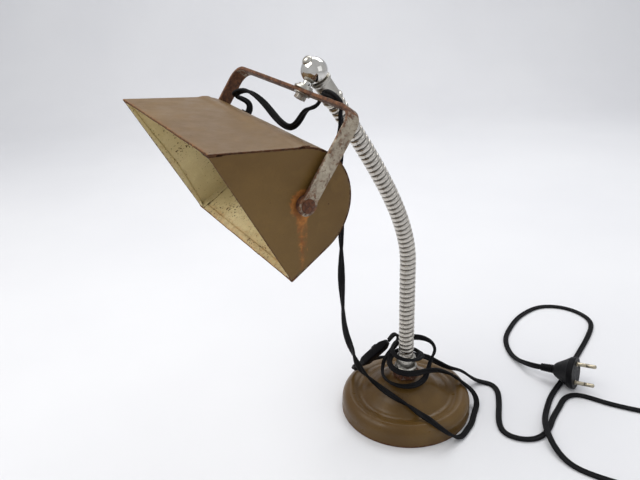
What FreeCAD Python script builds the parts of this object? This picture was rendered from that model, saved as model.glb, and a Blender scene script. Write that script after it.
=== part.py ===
# Gooseneck desk lamp: round weighted foot, ridged flexible neck, ball swivel, U-bracket,
# tilting shade with lamp holder and bulb, and a flex with in-line switch and plug.
# The lamp stands on the plane z = 0 with +Z up. The foot is centred on the origin and the
# shade leans towards -X. Sizes are in millimetres and degrees.
import FreeCAD, Part
import Sketcher
import math
import os

Vector = FreeCAD.Vector
doc = FreeCAD.newDocument("desk_lamp")

# ---------------------------------------------------------------- sizes
SIZES = dict(
    # foot
    base_radius=65.0, shell_gauge=1.2, wall_height=9.0, shoulder_radius=57.0,
    shoulder_height=20.2, valley_radius=46.0, valley_height=17.4, dome_height=36.6,
    boss_radius=14.0, nipple_radius=5.0, nipple_bore=3.5, felt_radius=62.4, felt_gauge=2.0,
    weight_radius=61.0, collar_radius=11.0, collar_low=43.2, collar_high=60.0,
    nut_flats=22.0, nut_height=5.6,
    # neck
    neck_tube_bore=5.6, neck_root_radius=6.6, neck_crown_radius=7.55, ridge_width=3.55,
    hinge_gap=1.2, ridges_each=6.0,
    # swivel
    ball_radius=10.1, running_gap=0.05, cup_rim_depth=8.0, cup_radius=8.3, cup_length=21.7,
    screw_radius=2.5, screw_head_radius=4.0, screw_head_height=3.0, stud_radius=2.45,
    stud_root_radius=3.5, stud_root_length=12.2, stud_length=24.0, bar_drop=17.4,
    # bracket
    arm_reach=69.7, strap_width=11.5, strap_gauge=2.5, arm_gap=3.0, arm_eye_radius=7.5,
    bend_radius=13.0, stud_offset=16.0, flange_radius=8.0,
    # shade
    shade_length=160.0, sheet_gauge=0.8, lip_up=72.0, lip_front=36.5, lip_low=46.5,
    back_radius=42.6, back_centre_up=1.256, back_centre_deep=-4.398, flange_depth=8.0,
    hem_width=5.5, pivot_radius=2.5, pivot_head_radius=5.2, pivot_head_height=2.6,
    # lamp holder and bulb
    holder_up=2.0, holder_deep=9.0, holder_radius=17.0, holder_length=36.0,
    bulb_radius=22.5, bulb_length=70.0, cap_radius=13.0,
    # flex and plug
    flex_half=2.0, pin_radius=2.0, pin_length=19.0, pin_pitch=19.0, plug_radius=18.0,
    plug_length=36.0,
)
# hinge centres up the neck: (distance from the foot axis in the plane of the bend, height)
HINGES = [
    (0.0, 75.0), (0.0, 104.429), (0.0, 133.858), (0.007, 163.286), (4.408, 192.305),
    (14.344, 219.979), (27.307, 246.389), (41.939, 271.920), (57.503, 296.895),
    (73.592, 321.536)]
BALL_OUT, BALL_UP = 90.86, 347.28
CUP_LEAN = 33.9

# lean of each neck link and of the cup from the vertical, then the kink at each hinge
LEAN = [math.degrees(math.atan2(b[0] - a[0], b[1] - a[1])) for a, b in zip(HINGES, HINGES[1:])]
LEAN.append(CUP_LEAN)
KINK = [lean - before for lean, before in zip(LEAN, [0.0] + LEAN)]
LINK_LENGTH = [math.hypot(b[0] - a[0], b[1] - a[1]) for a, b in zip(HINGES, HINGES[1:])]

for k, (out, up) in enumerate(HINGES):
    SIZES["hinge_out_%d" % k] = out
    SIZES["hinge_up_%d" % k] = up
    SIZES["kink_%d" % k] = KINK[k]
for k, link_length in enumerate(LINK_LENGTH, 1):
    SIZES["neck_length_%d" % k] = link_length

sheet = doc.addObject("Spreadsheet::Sheet", "Sizes")
for row, (alias, amount) in enumerate(SIZES.items(), 1):
    sheet.set("A%d" % row, alias)
    sheet.set("B%d" % row, repr(float(amount)))
    sheet.setAlias("B%d" % row, alias)
doc.recompute()


class Size:
    """A number together with the expression that gives it from the sheet."""

    def __init__(self, value, text):
        self.value = float(value)
        self.text = text

    def _with(self, other, sign, work_out):
        other = as_size(other)
        text = "(%s %s %s)" % (self.text, sign, other.text)
        return Size(work_out(self.value, other.value), text)

    def __add__(self, other):
        return self._with(other, "+", lambda a, b: a + b)

    def __sub__(self, other):
        return self._with(other, "-", lambda a, b: a - b)

    def __mul__(self, other):
        return self._with(other, "*", lambda a, b: a * b)

    def __truediv__(self, other):
        return self._with(other, "/", lambda a, b: a / b)

    def __radd__(self, other):
        return as_size(other) + self

    def __rmul__(self, other):
        return as_size(other) * self

    def __neg__(self):
        return Size(-self.value, "(-1 * %s)" % self.text)


def as_size(amount):
    return amount if isinstance(amount, Size) else Size(amount, repr(float(amount)))


def size(alias):
    return Size(SIZES[alias], "Sizes." + alias)


def sine(angle):
    return Size(math.sin(math.radians(angle.value)), "sin(%s * 1 deg)" % angle.text)


def cosine(angle):
    return Size(math.cos(math.radians(angle.value)), "cos(%s * 1 deg)" % angle.text)


def other_leg(long_side, leg):
    """The third side of a right-angled triangle."""
    square = long_side * long_side - leg * leg
    return Size(math.sqrt(square.value), "sqrt(%s)" % square.text)


def number(amount):
    return amount.value if isinstance(amount, Size) else float(amount)


def bind(thing, path, amount):
    """Tie a property or constraint to the sheet, if its amount comes from there."""
    if isinstance(amount, Size):
        thing.setExpression(path, amount.text)


# ---------------------------------------------------------------- builders
PIECES = []


def new_body(label, placement, is_piece=True):
    body = doc.addObject("PartDesign::Body", label)
    body.Placement = placement
    if is_piece:
        PIECES.append(body)
    return body


def origin_feature(body, role):
    return [f for f in body.Origin.OriginFeatures if f.Role == role][0]


def new_sketch(body, name, role, offset=0.0):
    sketch = body.newObject("Sketcher::SketchObject", name)
    sketch.AttachmentSupport = [(origin_feature(body, role), "")]
    sketch.MapMode = "FlatFace"
    place = Vector(0, 0, number(offset))
    sketch.AttachmentOffset = FreeCAD.Placement(place, FreeCAD.Rotation())
    bind(sketch, "AttachmentOffset.Base.z", offset)
    return sketch


def pin_point(sketch, geometry, end, x, y):
    """Fix a point by its distances from the sketch axes, or on an axis where one is nil."""
    for kind, axis, amount in (("DistanceX", -2, x), ("DistanceY", -1, y)):
        if abs(number(amount)) < 1e-9:
            sketch.addConstraint(Sketcher.Constraint("PointOnObject", geometry, end, axis))
            continue
        i = sketch.addConstraint(
            Sketcher.Constraint(kind, -1, 1, geometry, end, number(amount)))
        bind(sketch, "Constraints[%d]" % i, amount)


def outline(sketch, points, arcs=()):
    """Closed outline. arcs maps the index of a side to a point that its arc passes through."""
    corners = [Vector(number(x), number(y), 0) for x, y in points]
    sides = []
    for i, start in enumerate(corners):
        end = corners[(i + 1) % len(corners)]
        shape, first, last = Part.LineSegment(start, end), 1, 2
        if i in arcs:
            middle = Vector(number(arcs[i][0]), number(arcs[i][1]), 0)
            shape = Part.Arc(start, middle, end)
            # a sketch arc runs anticlockwise, so a clockwise side is drawn from its end
            if (middle - start).cross(end - middle).z <= 0:
                shape, first, last = Part.Arc(end, middle, start), 2, 1
        sides.append((sketch.addGeometry(shape, False), first, last))
    for (side, _, last), (following, first, _) in zip(sides, sides[1:] + sides[:1]):
        sketch.addConstraint(Sketcher.Constraint("Coincident", side, last, following, first))
    for i, (side, first, _) in enumerate(sides):
        pin_point(sketch, side, first, *points[i])
        if i in arcs:
            radius = sketch.Geometry[side].Radius
            sketch.addConstraint(Sketcher.Constraint("Radius", side, radius))


def rectangle(left, right, low, high):
    return [(left, low), (right, low), (right, high), (left, high)]


def circle(sketch, x, y, radius):
    shape = Part.Circle(Vector(number(x), number(y), 0), Vector(0, 0, 1), number(radius))
    geometry = sketch.addGeometry(shape, False)
    pin_point(sketch, geometry, 3, x, y)
    i = sketch.addConstraint(Sketcher.Constraint("Radius", geometry, number(radius)))
    bind(sketch, "Constraints[%d]" % i, radius)


def new_feature(body, kind, sketch, name):
    feature = body.newObject("PartDesign::" + kind, name)
    feature.Profile = sketch
    sketch.Visibility = False
    body.Tip = feature
    return feature


def both_sides(feature):
    # the property that makes a feature symmetric depends on the FreeCAD release
    if "SideType" in feature.PropertiesList:
        feature.SideType = "Symmetric"
    else:
        feature.Midplane = True


def pad(body, sketch, length, name, symmetric=False):
    feature = new_feature(body, "Pad", sketch, name)
    feature.Length = number(length)
    bind(feature, "Length", length)
    if symmetric:
        both_sides(feature)


def cut(body, sketch, name, length=None):
    """Pocket to both sides of the sketch, right through if no length is given."""
    feature = new_feature(body, "Pocket", sketch, name)
    if length is None:
        feature.Type = "ThroughAll"
    else:
        feature.Length = length
    both_sides(feature)


def turned(body, sketch, name):
    feature = new_feature(body, "Revolution", sketch, name)
    feature.ReferenceAxis = (sketch, ["V_Axis"])
    feature.Angle = 360.0
    return feature


def turning(label, placement, points, arcs=()):
    """A turned piece: its outline of (radius, height) is spun about Z."""
    body = new_body(label, placement)
    sketch = new_sketch(body, label + "_section", "XZ_Plane")
    outline(sketch, points, arcs)
    turned(body, sketch, label + "_turned")


def ring(label, placement, inner, outer, low, high):
    turning(label, placement, rectangle(inner, outer, low, high))


def domed(top, rim, low):
    """A point half-way out on the spherical cap that rises from its rim to its top."""
    rise = top - low
    sphere_radius = (rim * rim + rise * rise) / (rise * 2.0)
    half_out = rim * 0.5
    return half_out, top - sphere_radius + other_leg(sphere_radius, half_out)


def hex_nut(label, placement, flats, low, high, bore):
    corner = flats / (2 * math.cos(math.radians(30)))
    angles = [math.radians(60 * i) for i in range(6)]
    body = new_body(label, placement)
    sketch = new_sketch(body, label + "_hexagon", "XY_Plane", low)
    outline(sketch, [(corner * math.cos(a), corner * math.sin(a)) for a in angles])
    circle(sketch, 0, 0, bore)
    pad(body, sketch, high - low, label + "_pad")


def primitive(kind, name, placement, **sizes):
    solid = doc.addObject("Part::" + kind, name)
    for key, amount in sizes.items():
        setattr(solid, key, number(amount))
        bind(solid, key, amount)
    solid.Placement = placement
    return solid


# ---------------------------------------------------------------- directions and frames
def unit(x, y, z):
    vector = Vector(x, y, z)
    vector.normalize()
    return vector


def square_to(axis, vector):
    """The unit vector nearest to this one that is square to the axis."""
    vector = vector - axis * axis.dot(vector)
    vector.normalize()
    return vector


def frame(x_axis, z_axis, origin):
    y_axis = z_axis.cross(x_axis)
    entries = [n for line in zip(x_axis, y_axis, z_axis, origin) for n in line]
    return FreeCAD.Placement(FreeCAD.Matrix(*entries, 0, 0, 0, 1))


def shifted(placement, x, y, z):
    return placement.multiply(FreeCAD.Placement(Vector(x, y, z), FreeCAD.Rotation()))


# the neck bends from UP towards OUT
OUT = unit(-0.86762, -0.49723, 0)
UP = Vector(0, 0, 1)


def lean_frame(lean, out, up):
    """A frame in the plane of the bend, with Z leaning from the vertical."""
    s, c = math.sin(math.radians(lean)), math.cos(math.radians(lean))
    return frame(OUT * c - UP * s, OUT * s + UP * c, OUT * out + UP * up)


# shade directions: along its length, down its opening, and inwards from its opening
LONG = unit(-0.529, 0.8472, 0.0498)
DOWN = square_to(LONG, Vector(0.3618, 0.2782, -0.8898))
DEEP = DOWN.cross(LONG)
# the bracket arms run back and up from the pivots
ARM_TILT = math.radians(27.386)
ARM = DOWN * (-math.sin(ARM_TILT)) + DEEP * math.cos(ARM_TILT)

BALL = OUT * BALL_OUT + UP * BALL_UP
BAR = BALL - ARM * SIZES["bar_drop"] + LONG * SIZES["stud_offset"]
PIVOT = BAR - ARM * SIZES["arm_reach"]

FOOT = FreeCAD.Placement()
CUP = lean_frame(CUP_LEAN, BALL_OUT, BALL_UP)
STUD = frame(LONG, ARM * -1, BALL)
BRACKET = frame(LONG, ARM, PIVOT)
SHADE = frame(DOWN, LONG * -1, PIVOT)  # X is DOWN, Y is DEEP, Z is against LONG

# ---------------------------------------------------------------- foot
gauge = size("shell_gauge")
base, wall_up = size("base_radius"), size("wall_height")
shoulder, shoulder_up = size("shoulder_radius"), size("shoulder_height")
valley, valley_up = size("valley_radius"), size("valley_height")
boss, dome_up = size("boss_radius"), size("dome_height")
nipple = size("nipple_radius")
collar, collar_low, collar_high = size("collar_radius"), size("collar_low"), size("collar_high")
neck_root = size("neck_root_radius")

# pressed shell: wall, rolled shoulder, shallow valley and a domed centre with a flat boss
turning("base_shell", FOOT, [
    # upper surface, from the rim to the centre
    (base, 0), (base - 0.7, wall_up), (shoulder, shoulder_up),
    (shoulder - 6.8, shoulder_up - 1.7), (valley - 4.0, valley_up + 1.8),
    (valley - 12.0, valley_up + 7.0), (boss, dome_up), (nipple + 0.4, dome_up + 0.6),
    # lower surface, from the centre to the rim
    (nipple + 0.4, dome_up + 0.6 - gauge), (boss - 0.6, dome_up - gauge),
    (valley - 12.7, valley_up + 7.0 - gauge), (valley - 4.4, valley_up + 1.8 - gauge),
    (shoulder - 6.8, shoulder_up - 1.7 - gauge), (shoulder, shoulder_up - gauge),
    (base - 0.7 - gauge, wall_up), (base - gauge, 0),
], {
    1: (base - 2.9, wall_up + 7.4),
    2: (shoulder - 3.4, shoulder_up - 0.45),
    3: (valley, valley_up),
    5: (valley - 21.6, valley_up + 14.4),
    9: (valley - 22.1, valley_up + 13.2),
    11: (valley - 0.3, valley_up - gauge - 0.05),
    12: (shoulder - 3.5, shoulder_up - 0.45 - gauge),
    13: (base - 4.0, wall_up + 6.5),
})

# ballast under the shell, recessed below for the clamp nut
weight = size("weight_radius")
turning("base_weight", FOOT, [
    (nipple + 1.0, 12.0), (14.0, 12.0), (14.0, 3.0), (weight, 3.0),
    (weight + 0.6, wall_up - 1.0), (shoulder, shoulder_up - 4.6),
    (shoulder - 7.0, shoulder_up - 5.8), (valley - 4.0, valley_up - 2.2),
    (valley - 12.6, valley_up + 3.4), (boss, dome_up - 4.6), (nipple + 1.0, dome_up - 3.8)])

ring("base_felt", FOOT, 0, size("felt_radius"), 0, size("felt_gauge"))

# nipple up the middle of the foot, with a washer and nut below and a nut above
ring("base_nipple", FOOT, size("nipple_bore"), nipple, 4.2, 50.0)
ring("clamp_washer", FOOT, nipple + 0.2, 12.0, 10.3, 11.9)
hex_nut("clamp_nut", FOOT, 17.0, 4.8, 10.2, nipple + 0.05)
foot_nut_low = dome_up + 0.7
hex_nut("foot_nut", FOOT, size("nut_flats"), foot_nut_low, foot_nut_low + size("nut_height"),
        nipple + 0.05)

# ferrule round the foot of the neck
turning("foot_collar", FOOT, [
    (nipple + 0.1, collar_low), (collar, collar_low), (collar, collar_low + 5.0),
    (collar - 1.4, collar_low + 6.4), (collar - 1.4, collar_high - 2.0),
    (collar - 2.4, collar_high), (neck_root + 0.1, collar_high),
    (neck_root + 0.1, collar_low + 3.0), (nipple + 0.1, collar_low + 3.0)])

# ---------------------------------------------------------------- neck
RIDGE_ROOT = 0.4        # how far a ridge is sunk into the tube wall
FOOT_PITCH = 4.905      # ridge pitch of the lowest length
FOOT_TOP_RIDGE = 2.45   # from its last ridge up to the first hinge
BEVEL_REACH = 12.0      # half-width of the cuts that bevel a link
hinge_gap = size("hinge_gap")


def ridged_tube(label, placement, low, high, first, pitch, count):
    """A hollow length of tube with rounded ridges, the first one centred at height first."""
    body = new_body(label, placement)
    sketch = new_sketch(body, label + "_tube", "XZ_Plane")
    outline(sketch, rectangle(size("neck_tube_bore"), neck_root, low, high))
    turned(body, sketch, label + "_wall")
    sketch = new_sketch(body, label + "_ridge", "XZ_Plane")
    half_width = size("ridge_width") / 2
    outline(sketch,
            rectangle(neck_root - RIDGE_ROOT, neck_root, first - half_width, first + half_width),
            {1: (size("neck_crown_radius"), first)})
    ridge = turned(body, sketch, label + "_crown")
    rows = body.newObject("PartDesign::LinearPattern", label + "_crowns")
    rows.Originals = [ridge]
    rows.Direction = (origin_feature(body, "Z_Axis"), [""])
    # only some FreeCAD releases offer a choice between overall extent and spacing
    if "Mode" in rows.PropertiesList:
        rows.Mode = "Extent"
    span = pitch * (count - 1)
    rows.Length = number(span)
    bind(rows, "Length", span)
    rows.Occurrences = count
    body.Tip = rows
    doc.recompute()
    return body


def bevel_heights(kink):
    """Depth of a bevel at +X and at -X: half the hinge gap and half the kink."""
    slope = BEVEL_REACH * sine(kink / 2)
    c = cosine(kink / 2)
    return (hinge_gap / 2 + slope) / c, (hinge_gap / 2 - slope) / c


def neck_link(k):
    """Link k, from hinge k - 1 to hinge k, bevelled so that each hinge has an even gap."""
    label = "neck_link_%d" % k
    length = size("neck_length_%d" % k)
    pitch = length / size("ridges_each")
    body = ridged_tube(label, lean_frame(LEAN[k - 1], *HINGES[k - 1]), 0, length,
                       pitch / 2, pitch, int(SIZES["ridges_each"]))
    reach = BEVEL_REACH
    sketch = new_sketch(body, label + "_foot_bevel", "XZ_Plane")
    plus, minus = bevel_heights(size("kink_%d" % (k - 1)))
    outline(sketch, [(-reach, -5.0), (reach, -5.0), (reach, plus), (-reach, minus)])
    cut(body, sketch, label + "_foot_cut", 40.0)
    sketch = new_sketch(body, label + "_head_bevel", "XZ_Plane")
    plus, minus = bevel_heights(size("kink_%d" % k))
    outline(sketch, [(reach, length + 5.0), (-reach, length + 5.0),
                     (-reach, length - minus), (reach, length - plus)])
    cut(body, sketch, label + "_head_cut", 40.0)


first_hinge = size("hinge_up_0")
ridged_tube("neck_foot", FOOT, collar_low + 3.2, first_hinge - hinge_gap / 2,
            first_hinge - FOOT_TOP_RIDGE - 2 * FOOT_PITCH, FOOT_PITCH, 3)
for k in range(1, len(HINGES)):
    neck_link(k)

# ---------------------------------------------------------------- ball swivel
CUP_BORE = 2.7
BALL_FLAT = 9.25  # from the ball centre to the flat under the screw head
ball, running = size("ball_radius"), size("running_gap")
seat = ball + running
rim_low, cup = -size("cup_rim_depth"), size("cup_radius")
cup_low = rim_low - size("cup_length")
screw, screw_head = size("screw_radius"), size("screw_head_radius")
stud = size("stud_radius")
stud_root_length = size("stud_root_length")

# cup at the head of the neck: seat for the ball, stepped barrel and a beaded lower ring
turning("neck_cup", CUP, [
    (CUP_BORE, -other_leg(seat, CUP_BORE)), (other_leg(seat, rim_low), rim_low), (cup, rim_low),
    (cup, rim_low - 2.2), (cup - 0.9, rim_low - 3.4), (cup - 0.9, cup_low + 5.2),
    (cup - 0.3, cup_low + 4.4), (cup - 0.3, cup_low + 0.8), (cup - 1.1, cup_low),
    (CUP_BORE, cup_low)],
    {0: (5.0, -other_leg(seat, 5.0)), 6: (cup + 0.3, cup_low + 2.6)})

# round-headed screw along the neck, through the ball
screw_top = BALL_FLAT + 0.05 + size("screw_head_height")
turning("ball_screw", CUP, [
    (0, -24.0), (0, screw_top), (screw_head, BALL_FLAT + 0.75), (screw_head, BALL_FLAT + 0.05),
    (screw, BALL_FLAT + 0.05), (screw, -24.0)],
    {1: domed(screw_top, screw_head, BALL_FLAT + 0.75)})


def swivel_ball():
    """Ball and its stud to the bracket, bored for the screw and flatted under its head."""
    solid = doc.addObject("Part::MultiFuse", "ball_solid")
    solid.Shapes = [
        primitive("Sphere", "ball_sphere", CUP, Radius=ball),
        primitive("Cylinder", "ball_stud_root", STUD,
                  Radius=size("stud_root_radius"), Height=stud_root_length),
        primitive("Cylinder", "ball_stud", STUD, Radius=stud, Height=size("stud_length"))]
    tools = doc.addObject("Part::MultiFuse", "ball_tools")
    tools.Shapes = [
        primitive("Cylinder", "ball_bore", shifted(CUP, 0, 0, -14),
                  Radius=screw + running, Height=28.0),
        primitive("Cylinder", "ball_facing", shifted(CUP, 0, 0, BALL_FLAT),
                  Radius=6.0, Height=4.0)]
    piece = doc.addObject("Part::Cut", "swivel_ball")
    piece.Base, piece.Tool = solid, tools
    PIECES.append(piece)


swivel_ball()

# ---------------------------------------------------------------- bracket
strap_gauge = size("strap_gauge")
half_length = size("shade_length") / 2
arm_in = half_length + size("arm_gap")
arm_out = arm_in + strap_gauge


def bracket_strap():
    """U-shaped strap with a round eye at each pivot and a hole in the bar for the stud."""
    bar_top = size("arm_reach") + strap_gauge / 2
    bar_under = size("arm_reach") - strap_gauge / 2
    outer_bend = size("bend_radius")
    inner_bend = outer_bend - strap_gauge
    # the middle of a bend lies this share of its radius in from both tangents
    share = 1 - math.cos(math.radians(45))
    outer_in, inner_in = outer_bend * share, inner_bend * share
    strap = new_body("bracket_strap", BRACKET)
    sketch = new_sketch(strap, "strap_path", "XZ_Plane")
    outline(sketch, [
        (-arm_out, 0), (-arm_out, bar_top - outer_bend), (-arm_out + outer_bend, bar_top),
        (arm_out - outer_bend, bar_top), (arm_out, bar_top - outer_bend), (arm_out, 0),
        (arm_in, 0), (arm_in, bar_under - inner_bend), (arm_in - inner_bend, bar_under),
        (-arm_in + inner_bend, bar_under), (-arm_in, bar_under - inner_bend), (-arm_in, 0),
    ], {
        1: (-arm_out + outer_in, bar_top - outer_in),
        3: (arm_out - outer_in, bar_top - outer_in),
        7: (arm_in - inner_in, bar_under - inner_in),
        9: (-arm_in + inner_in, bar_under - inner_in),
    })
    pad(strap, sketch, size("strap_width"), "strap_bar", symmetric=True)
    for side, start in (("near", -arm_out), ("far", arm_in)):
        sketch = new_sketch(strap, "eye_%s_disc" % side, "YZ_Plane", start)
        circle(sketch, 0, 0, size("arm_eye_radius"))
        pad(strap, sketch, strap_gauge, "eye_" + side)
    sketch = new_sketch(strap, "eye_bores", "YZ_Plane")
    circle(sketch, 0, 0, size("pivot_radius") + running)
    cut(strap, sketch, "pivot_bores")
    sketch = new_sketch(strap, "stud_bore", "XY_Plane")
    circle(sketch, -size("stud_offset"), 0, stud + running)
    cut(strap, sketch, "stud_hole")


bracket_strap()

# stepped collar between ball and bar, and the washer and nut on the stud beyond the bar
stud_clear = stud + running
flange = size("flange_radius")
bar_near = size("bar_drop") - strap_gauge / 2
bar_far = size("bar_drop") + strap_gauge / 2
turning("bracket_collar", STUD, [
    (stud_clear, stud_root_length + 0.1), (flange - 2.3, stud_root_length + 0.1),
    (flange - 2.3, stud_root_length + 1.6), (flange - 1.2, stud_root_length + 1.6),
    (flange - 1.2, stud_root_length + 2.3), (flange, stud_root_length + 2.3),
    (flange, bar_near), (stud_clear, bar_near)])
ring("stud_washer", STUD, stud_clear, 6.5, bar_far + 0.02, bar_far + 1.0)
hex_nut("stud_nut", STUD, 8.0, bar_far + 1.05, bar_far + 4.85, stud + 0.02)

# ---------------------------------------------------------------- shade
# The section lies in XY of the shade frame: two straight sides run in from the lips at the
# opening to a round back. An angle is measured round the centre of the back curve from +X,
# and an inset is measured inwards from the outer surface.
sheet_gauge = size("sheet_gauge")
GAUGE, HEM = SIZES["sheet_gauge"], SIZES["hem_width"]
BACK_RADIUS = SIZES["back_radius"]
BACK_X, BACK_Y = SIZES["back_centre_up"], SIZES["back_centre_deep"]
OPENING_Y = -SIZES["lip_front"]
LAP_ANGLE = 5.5      # how far the top sheet laps round the back sheet
LAP_GAP = 0.05
PLATE_INSET = 0.85   # the end plates sit inside the sheets
GROMMET_ANGLE, GROMMET_ALONG = 100.0, 62.0


def touch_angle(lip_x, turn):
    """Angle at which the straight side from a lip meets the back curve."""
    dx, dy = BACK_X - lip_x, BACK_Y - OPENING_Y
    swing = math.asin(BACK_RADIUS / math.hypot(dx, dy)) + math.pi / 2
    return math.degrees(math.atan2(dy, dx) + turn * swing)


# each side: X of its lip, and the angle at which it meets the back curve
TOP = (-SIZES["lip_up"], touch_angle(-SIZES["lip_up"], 1))
LOW = (SIZES["lip_low"], touch_angle(SIZES["lip_low"], -1))
MIDDLE_ANGLE = (TOP[1] + LOW[1]) / 2


def on_back(angle, inset):
    radius = BACK_RADIUS - inset
    a = math.radians(angle)
    return BACK_X + radius * math.cos(a), BACK_Y + radius * math.sin(a)


def lip(side, inset):
    """Where a straight side, moved inwards, crosses the plane of the opening."""
    return side[0] - inset / math.cos(math.radians(side[1])), OPENING_Y


def touch(side, inset):
    return on_back(side[1], inset)


def towards(start, end, distance):
    share = distance / math.hypot(end[0] - start[0], end[1] - start[1])
    return start[0] + (end[0] - start[0]) * share, start[1] + (end[1] - start[1]) * share


def from_lip(side, distance, inset):
    return towards(lip(side, inset), touch(side, inset), distance)


def before_lap(distance, inset):
    return towards(touch(TOP, inset), lip(TOP, inset), distance)


def rounded(points):
    """Worked-out points, constrained to six decimals."""
    return [(Size(x, repr(round(x, 6))), Size(y, repr(round(y, 6)))) for x, y in points]


def shade_top_sheet():
    """Flat sheet, hemmed at the lip and joggled outwards where it laps the back sheet."""
    body = new_body("shade_top_sheet", SHADE)
    sketch = new_sketch(body, "top_section", "XY_Plane")
    lap_end, lap_middle = TOP[1] - LAP_ANGLE, TOP[1] - LAP_ANGLE / 2
    lap_out, lap_in = -GAUGE - LAP_GAP, -LAP_GAP
    outline(sketch, rounded([
        lip(TOP, 0), before_lap(6.0, 0), touch(TOP, lap_out), on_back(lap_end, lap_out),
        on_back(lap_end, lap_in), touch(TOP, lap_in), before_lap(5.0, GAUGE),
        from_lip(TOP, HEM + 0.4, GAUGE), from_lip(TOP, HEM, 2 * GAUGE), lip(TOP, 2 * GAUGE)]),
        {2: on_back(lap_middle, lap_out), 4: on_back(lap_middle, lap_in)})
    pad(body, sketch, size("shade_length"), "top_pad", symmetric=True)


def shade_back_sheet():
    """Sheet bent from under the lap round to the lower lip, hemmed there, with a flex hole."""
    blank = new_body("shade_back_blank", SHADE, is_piece=False)
    sketch = new_sketch(blank, "back_section", "XY_Plane")
    start = TOP[1] - 0.1
    outline(sketch, rounded([
        on_back(start, 0), touch(LOW, 0), lip(LOW, 0), lip(LOW, 2 * GAUGE),
        from_lip(LOW, HEM, 2 * GAUGE), from_lip(LOW, HEM + 0.4, GAUGE), touch(LOW, GAUGE),
        on_back(start, GAUGE)]),
        {0: on_back(MIDDLE_ANGLE, 0), 6: on_back(MIDDLE_ANGLE, GAUGE)})
    pad(blank, sketch, size("shade_length"), "back_pad", symmetric=True)
    piece = doc.addObject("Part::Cut", "shade_back_sheet")
    piece.Base = blank
    piece.Tool = primitive("Cylinder", "flex_hole_tool", HOLE, Radius=4.2, Height=60.0)
    PIECES.append(piece)


def end_plate(label, face, inward):
    """Flat plate with a flange under the sheets, a hem at the opening and a pivot hole.

    face is the Z of its outer face, and inward is +1 or -1 for the way into the shade."""
    body = new_body(label, SHADE)
    inset, inner = PLATE_INSET, PLATE_INSET + GAUGE

    def layer(name, depth, thickness):
        """Sketch on the lower side of a layer that starts at a depth under the face."""
        low = face + depth if inward > 0 else face - depth - thickness
        return new_sketch(body, label + name, "XY_Plane", low)

    sketch = layer("_face", 0, sheet_gauge)
    outline(sketch, rounded([
        lip(TOP, inset + 0.9), from_lip(TOP, HEM + 4.0, inset + 0.9),
        from_lip(TOP, HEM + 6.0, inset), touch(TOP, inset), touch(LOW, inset),
        from_lip(LOW, HEM + 6.0, inset), from_lip(LOW, HEM + 4.0, inset + 0.9),
        lip(LOW, inset + 0.9)]),
        {3: on_back(MIDDLE_ANGLE, inset)})
    circle(sketch, 0, 0, size("pivot_radius") + 0.02)
    pad(body, sketch, sheet_gauge, label + "_sheet")

    depth = size("flange_depth")
    flange_start = HEM + 8.0
    sketch = layer("_flange_section", 0, depth)
    outline(sketch, rounded([
        from_lip(TOP, flange_start, inset), touch(TOP, inset), touch(LOW, inset),
        from_lip(LOW, flange_start, inset), from_lip(LOW, flange_start, inner),
        touch(LOW, inner), touch(TOP, inner), from_lip(TOP, flange_start, inner)]),
        {1: on_back(MIDDLE_ANGLE, inset), 5: on_back(MIDDLE_ANGLE, inner)})
    pad(body, sketch, depth, label + "_flange")

    # the hem is sunk slightly into the plate
    sketch = layer("_hem_section", sheet_gauge - 0.02, sheet_gauge)
    (top_x, y), (low_x, _) = lip(TOP, inset + 1.2), lip(LOW, inset + 1.2)
    outline(sketch, rounded([
        (top_x, y), (top_x + HEM * 0.62, y + HEM), (low_x - HEM * 0.1, y + HEM), (low_x, y)]))
    pad(body, sketch, sheet_gauge, label + "_hem")


# frame of the flex hole: Z runs from the centre of the back curve out through the sheet
hole_x, hole_y = (f(math.radians(GROMMET_ANGLE)) for f in (math.cos, math.sin))
HOLE = SHADE.multiply(frame(Vector(-hole_y, hole_x, 0), Vector(hole_x, hole_y, 0),
                            Vector(BACK_X, BACK_Y, -GROMMET_ALONG)))
shade_top_sheet()
shade_back_sheet()
end_plate("shade_end_far", -half_length, 1)
end_plate("shade_end_near", half_length, -1)

# pivots: spacer between arm and plate, headed screw through both, nut inside
pivot, pivot_head = size("pivot_radius"), size("pivot_head_radius")
head_low = arm_out + 0.05
head_top = head_low + size("pivot_head_height")
plate_in = half_length - sheet_gauge
for side, outward in (("near", LONG * -1), ("far", LONG)):
    axis = frame(DOWN, outward, PIVOT)
    ring("pivot_spacer_" + side, axis, pivot + 0.05, 6.5, half_length + 0.02, arm_in - 0.05)
    turning("pivot_screw_" + side, axis, [
        (0, half_length - 5.8), (pivot, half_length - 5.8), (pivot, head_low),
        (pivot_head, head_low), (pivot_head, arm_out + 0.9), (0, head_top)],
        {4: domed(head_top, pivot_head, arm_out + 0.9)})
    hex_nut("pivot_nut_" + side, axis, 8.0, plate_in - 4.2, plate_in - 0.02, pivot + 0.02)

# ---------------------------------------------------------------- lamp holder and bulb
HOLDER = shifted(SHADE, SIZES["holder_up"], SIZES["holder_deep"], 0)
plate = -half_length + sheet_gauge + 0.02   # just clear of the far end plate
holder = size("holder_radius")
floor = plate + 6.0
mouth = plate + size("holder_length")
cap, bulb = size("cap_radius"), size("bulb_radius")
socket = cap + 0.5

# stepped barrel with a skirt, hollow from the mouth down to its floor
turning("lamp_holder", HOLDER, [
    (0, floor), (0, floor + 3.0), (socket, floor + 3.0), (socket, mouth), (holder, mouth),
    (holder, mouth - 12.0), (holder - 1.0, mouth - 12.0), (holder - 1.0, floor + 3.0),
    (holder - 4.0, floor)])
# thin flanged cup between the end plate and the holder
turning("holder_foot", HOLDER, [
    (15.3, plate), (18.6, plate), (18.6, plate + 0.9), (16.1, plate + 0.9),
    (15.0, floor - 0.02), (0, floor - 0.02), (0, floor - 0.82), (14.2, floor - 0.82)])

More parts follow.
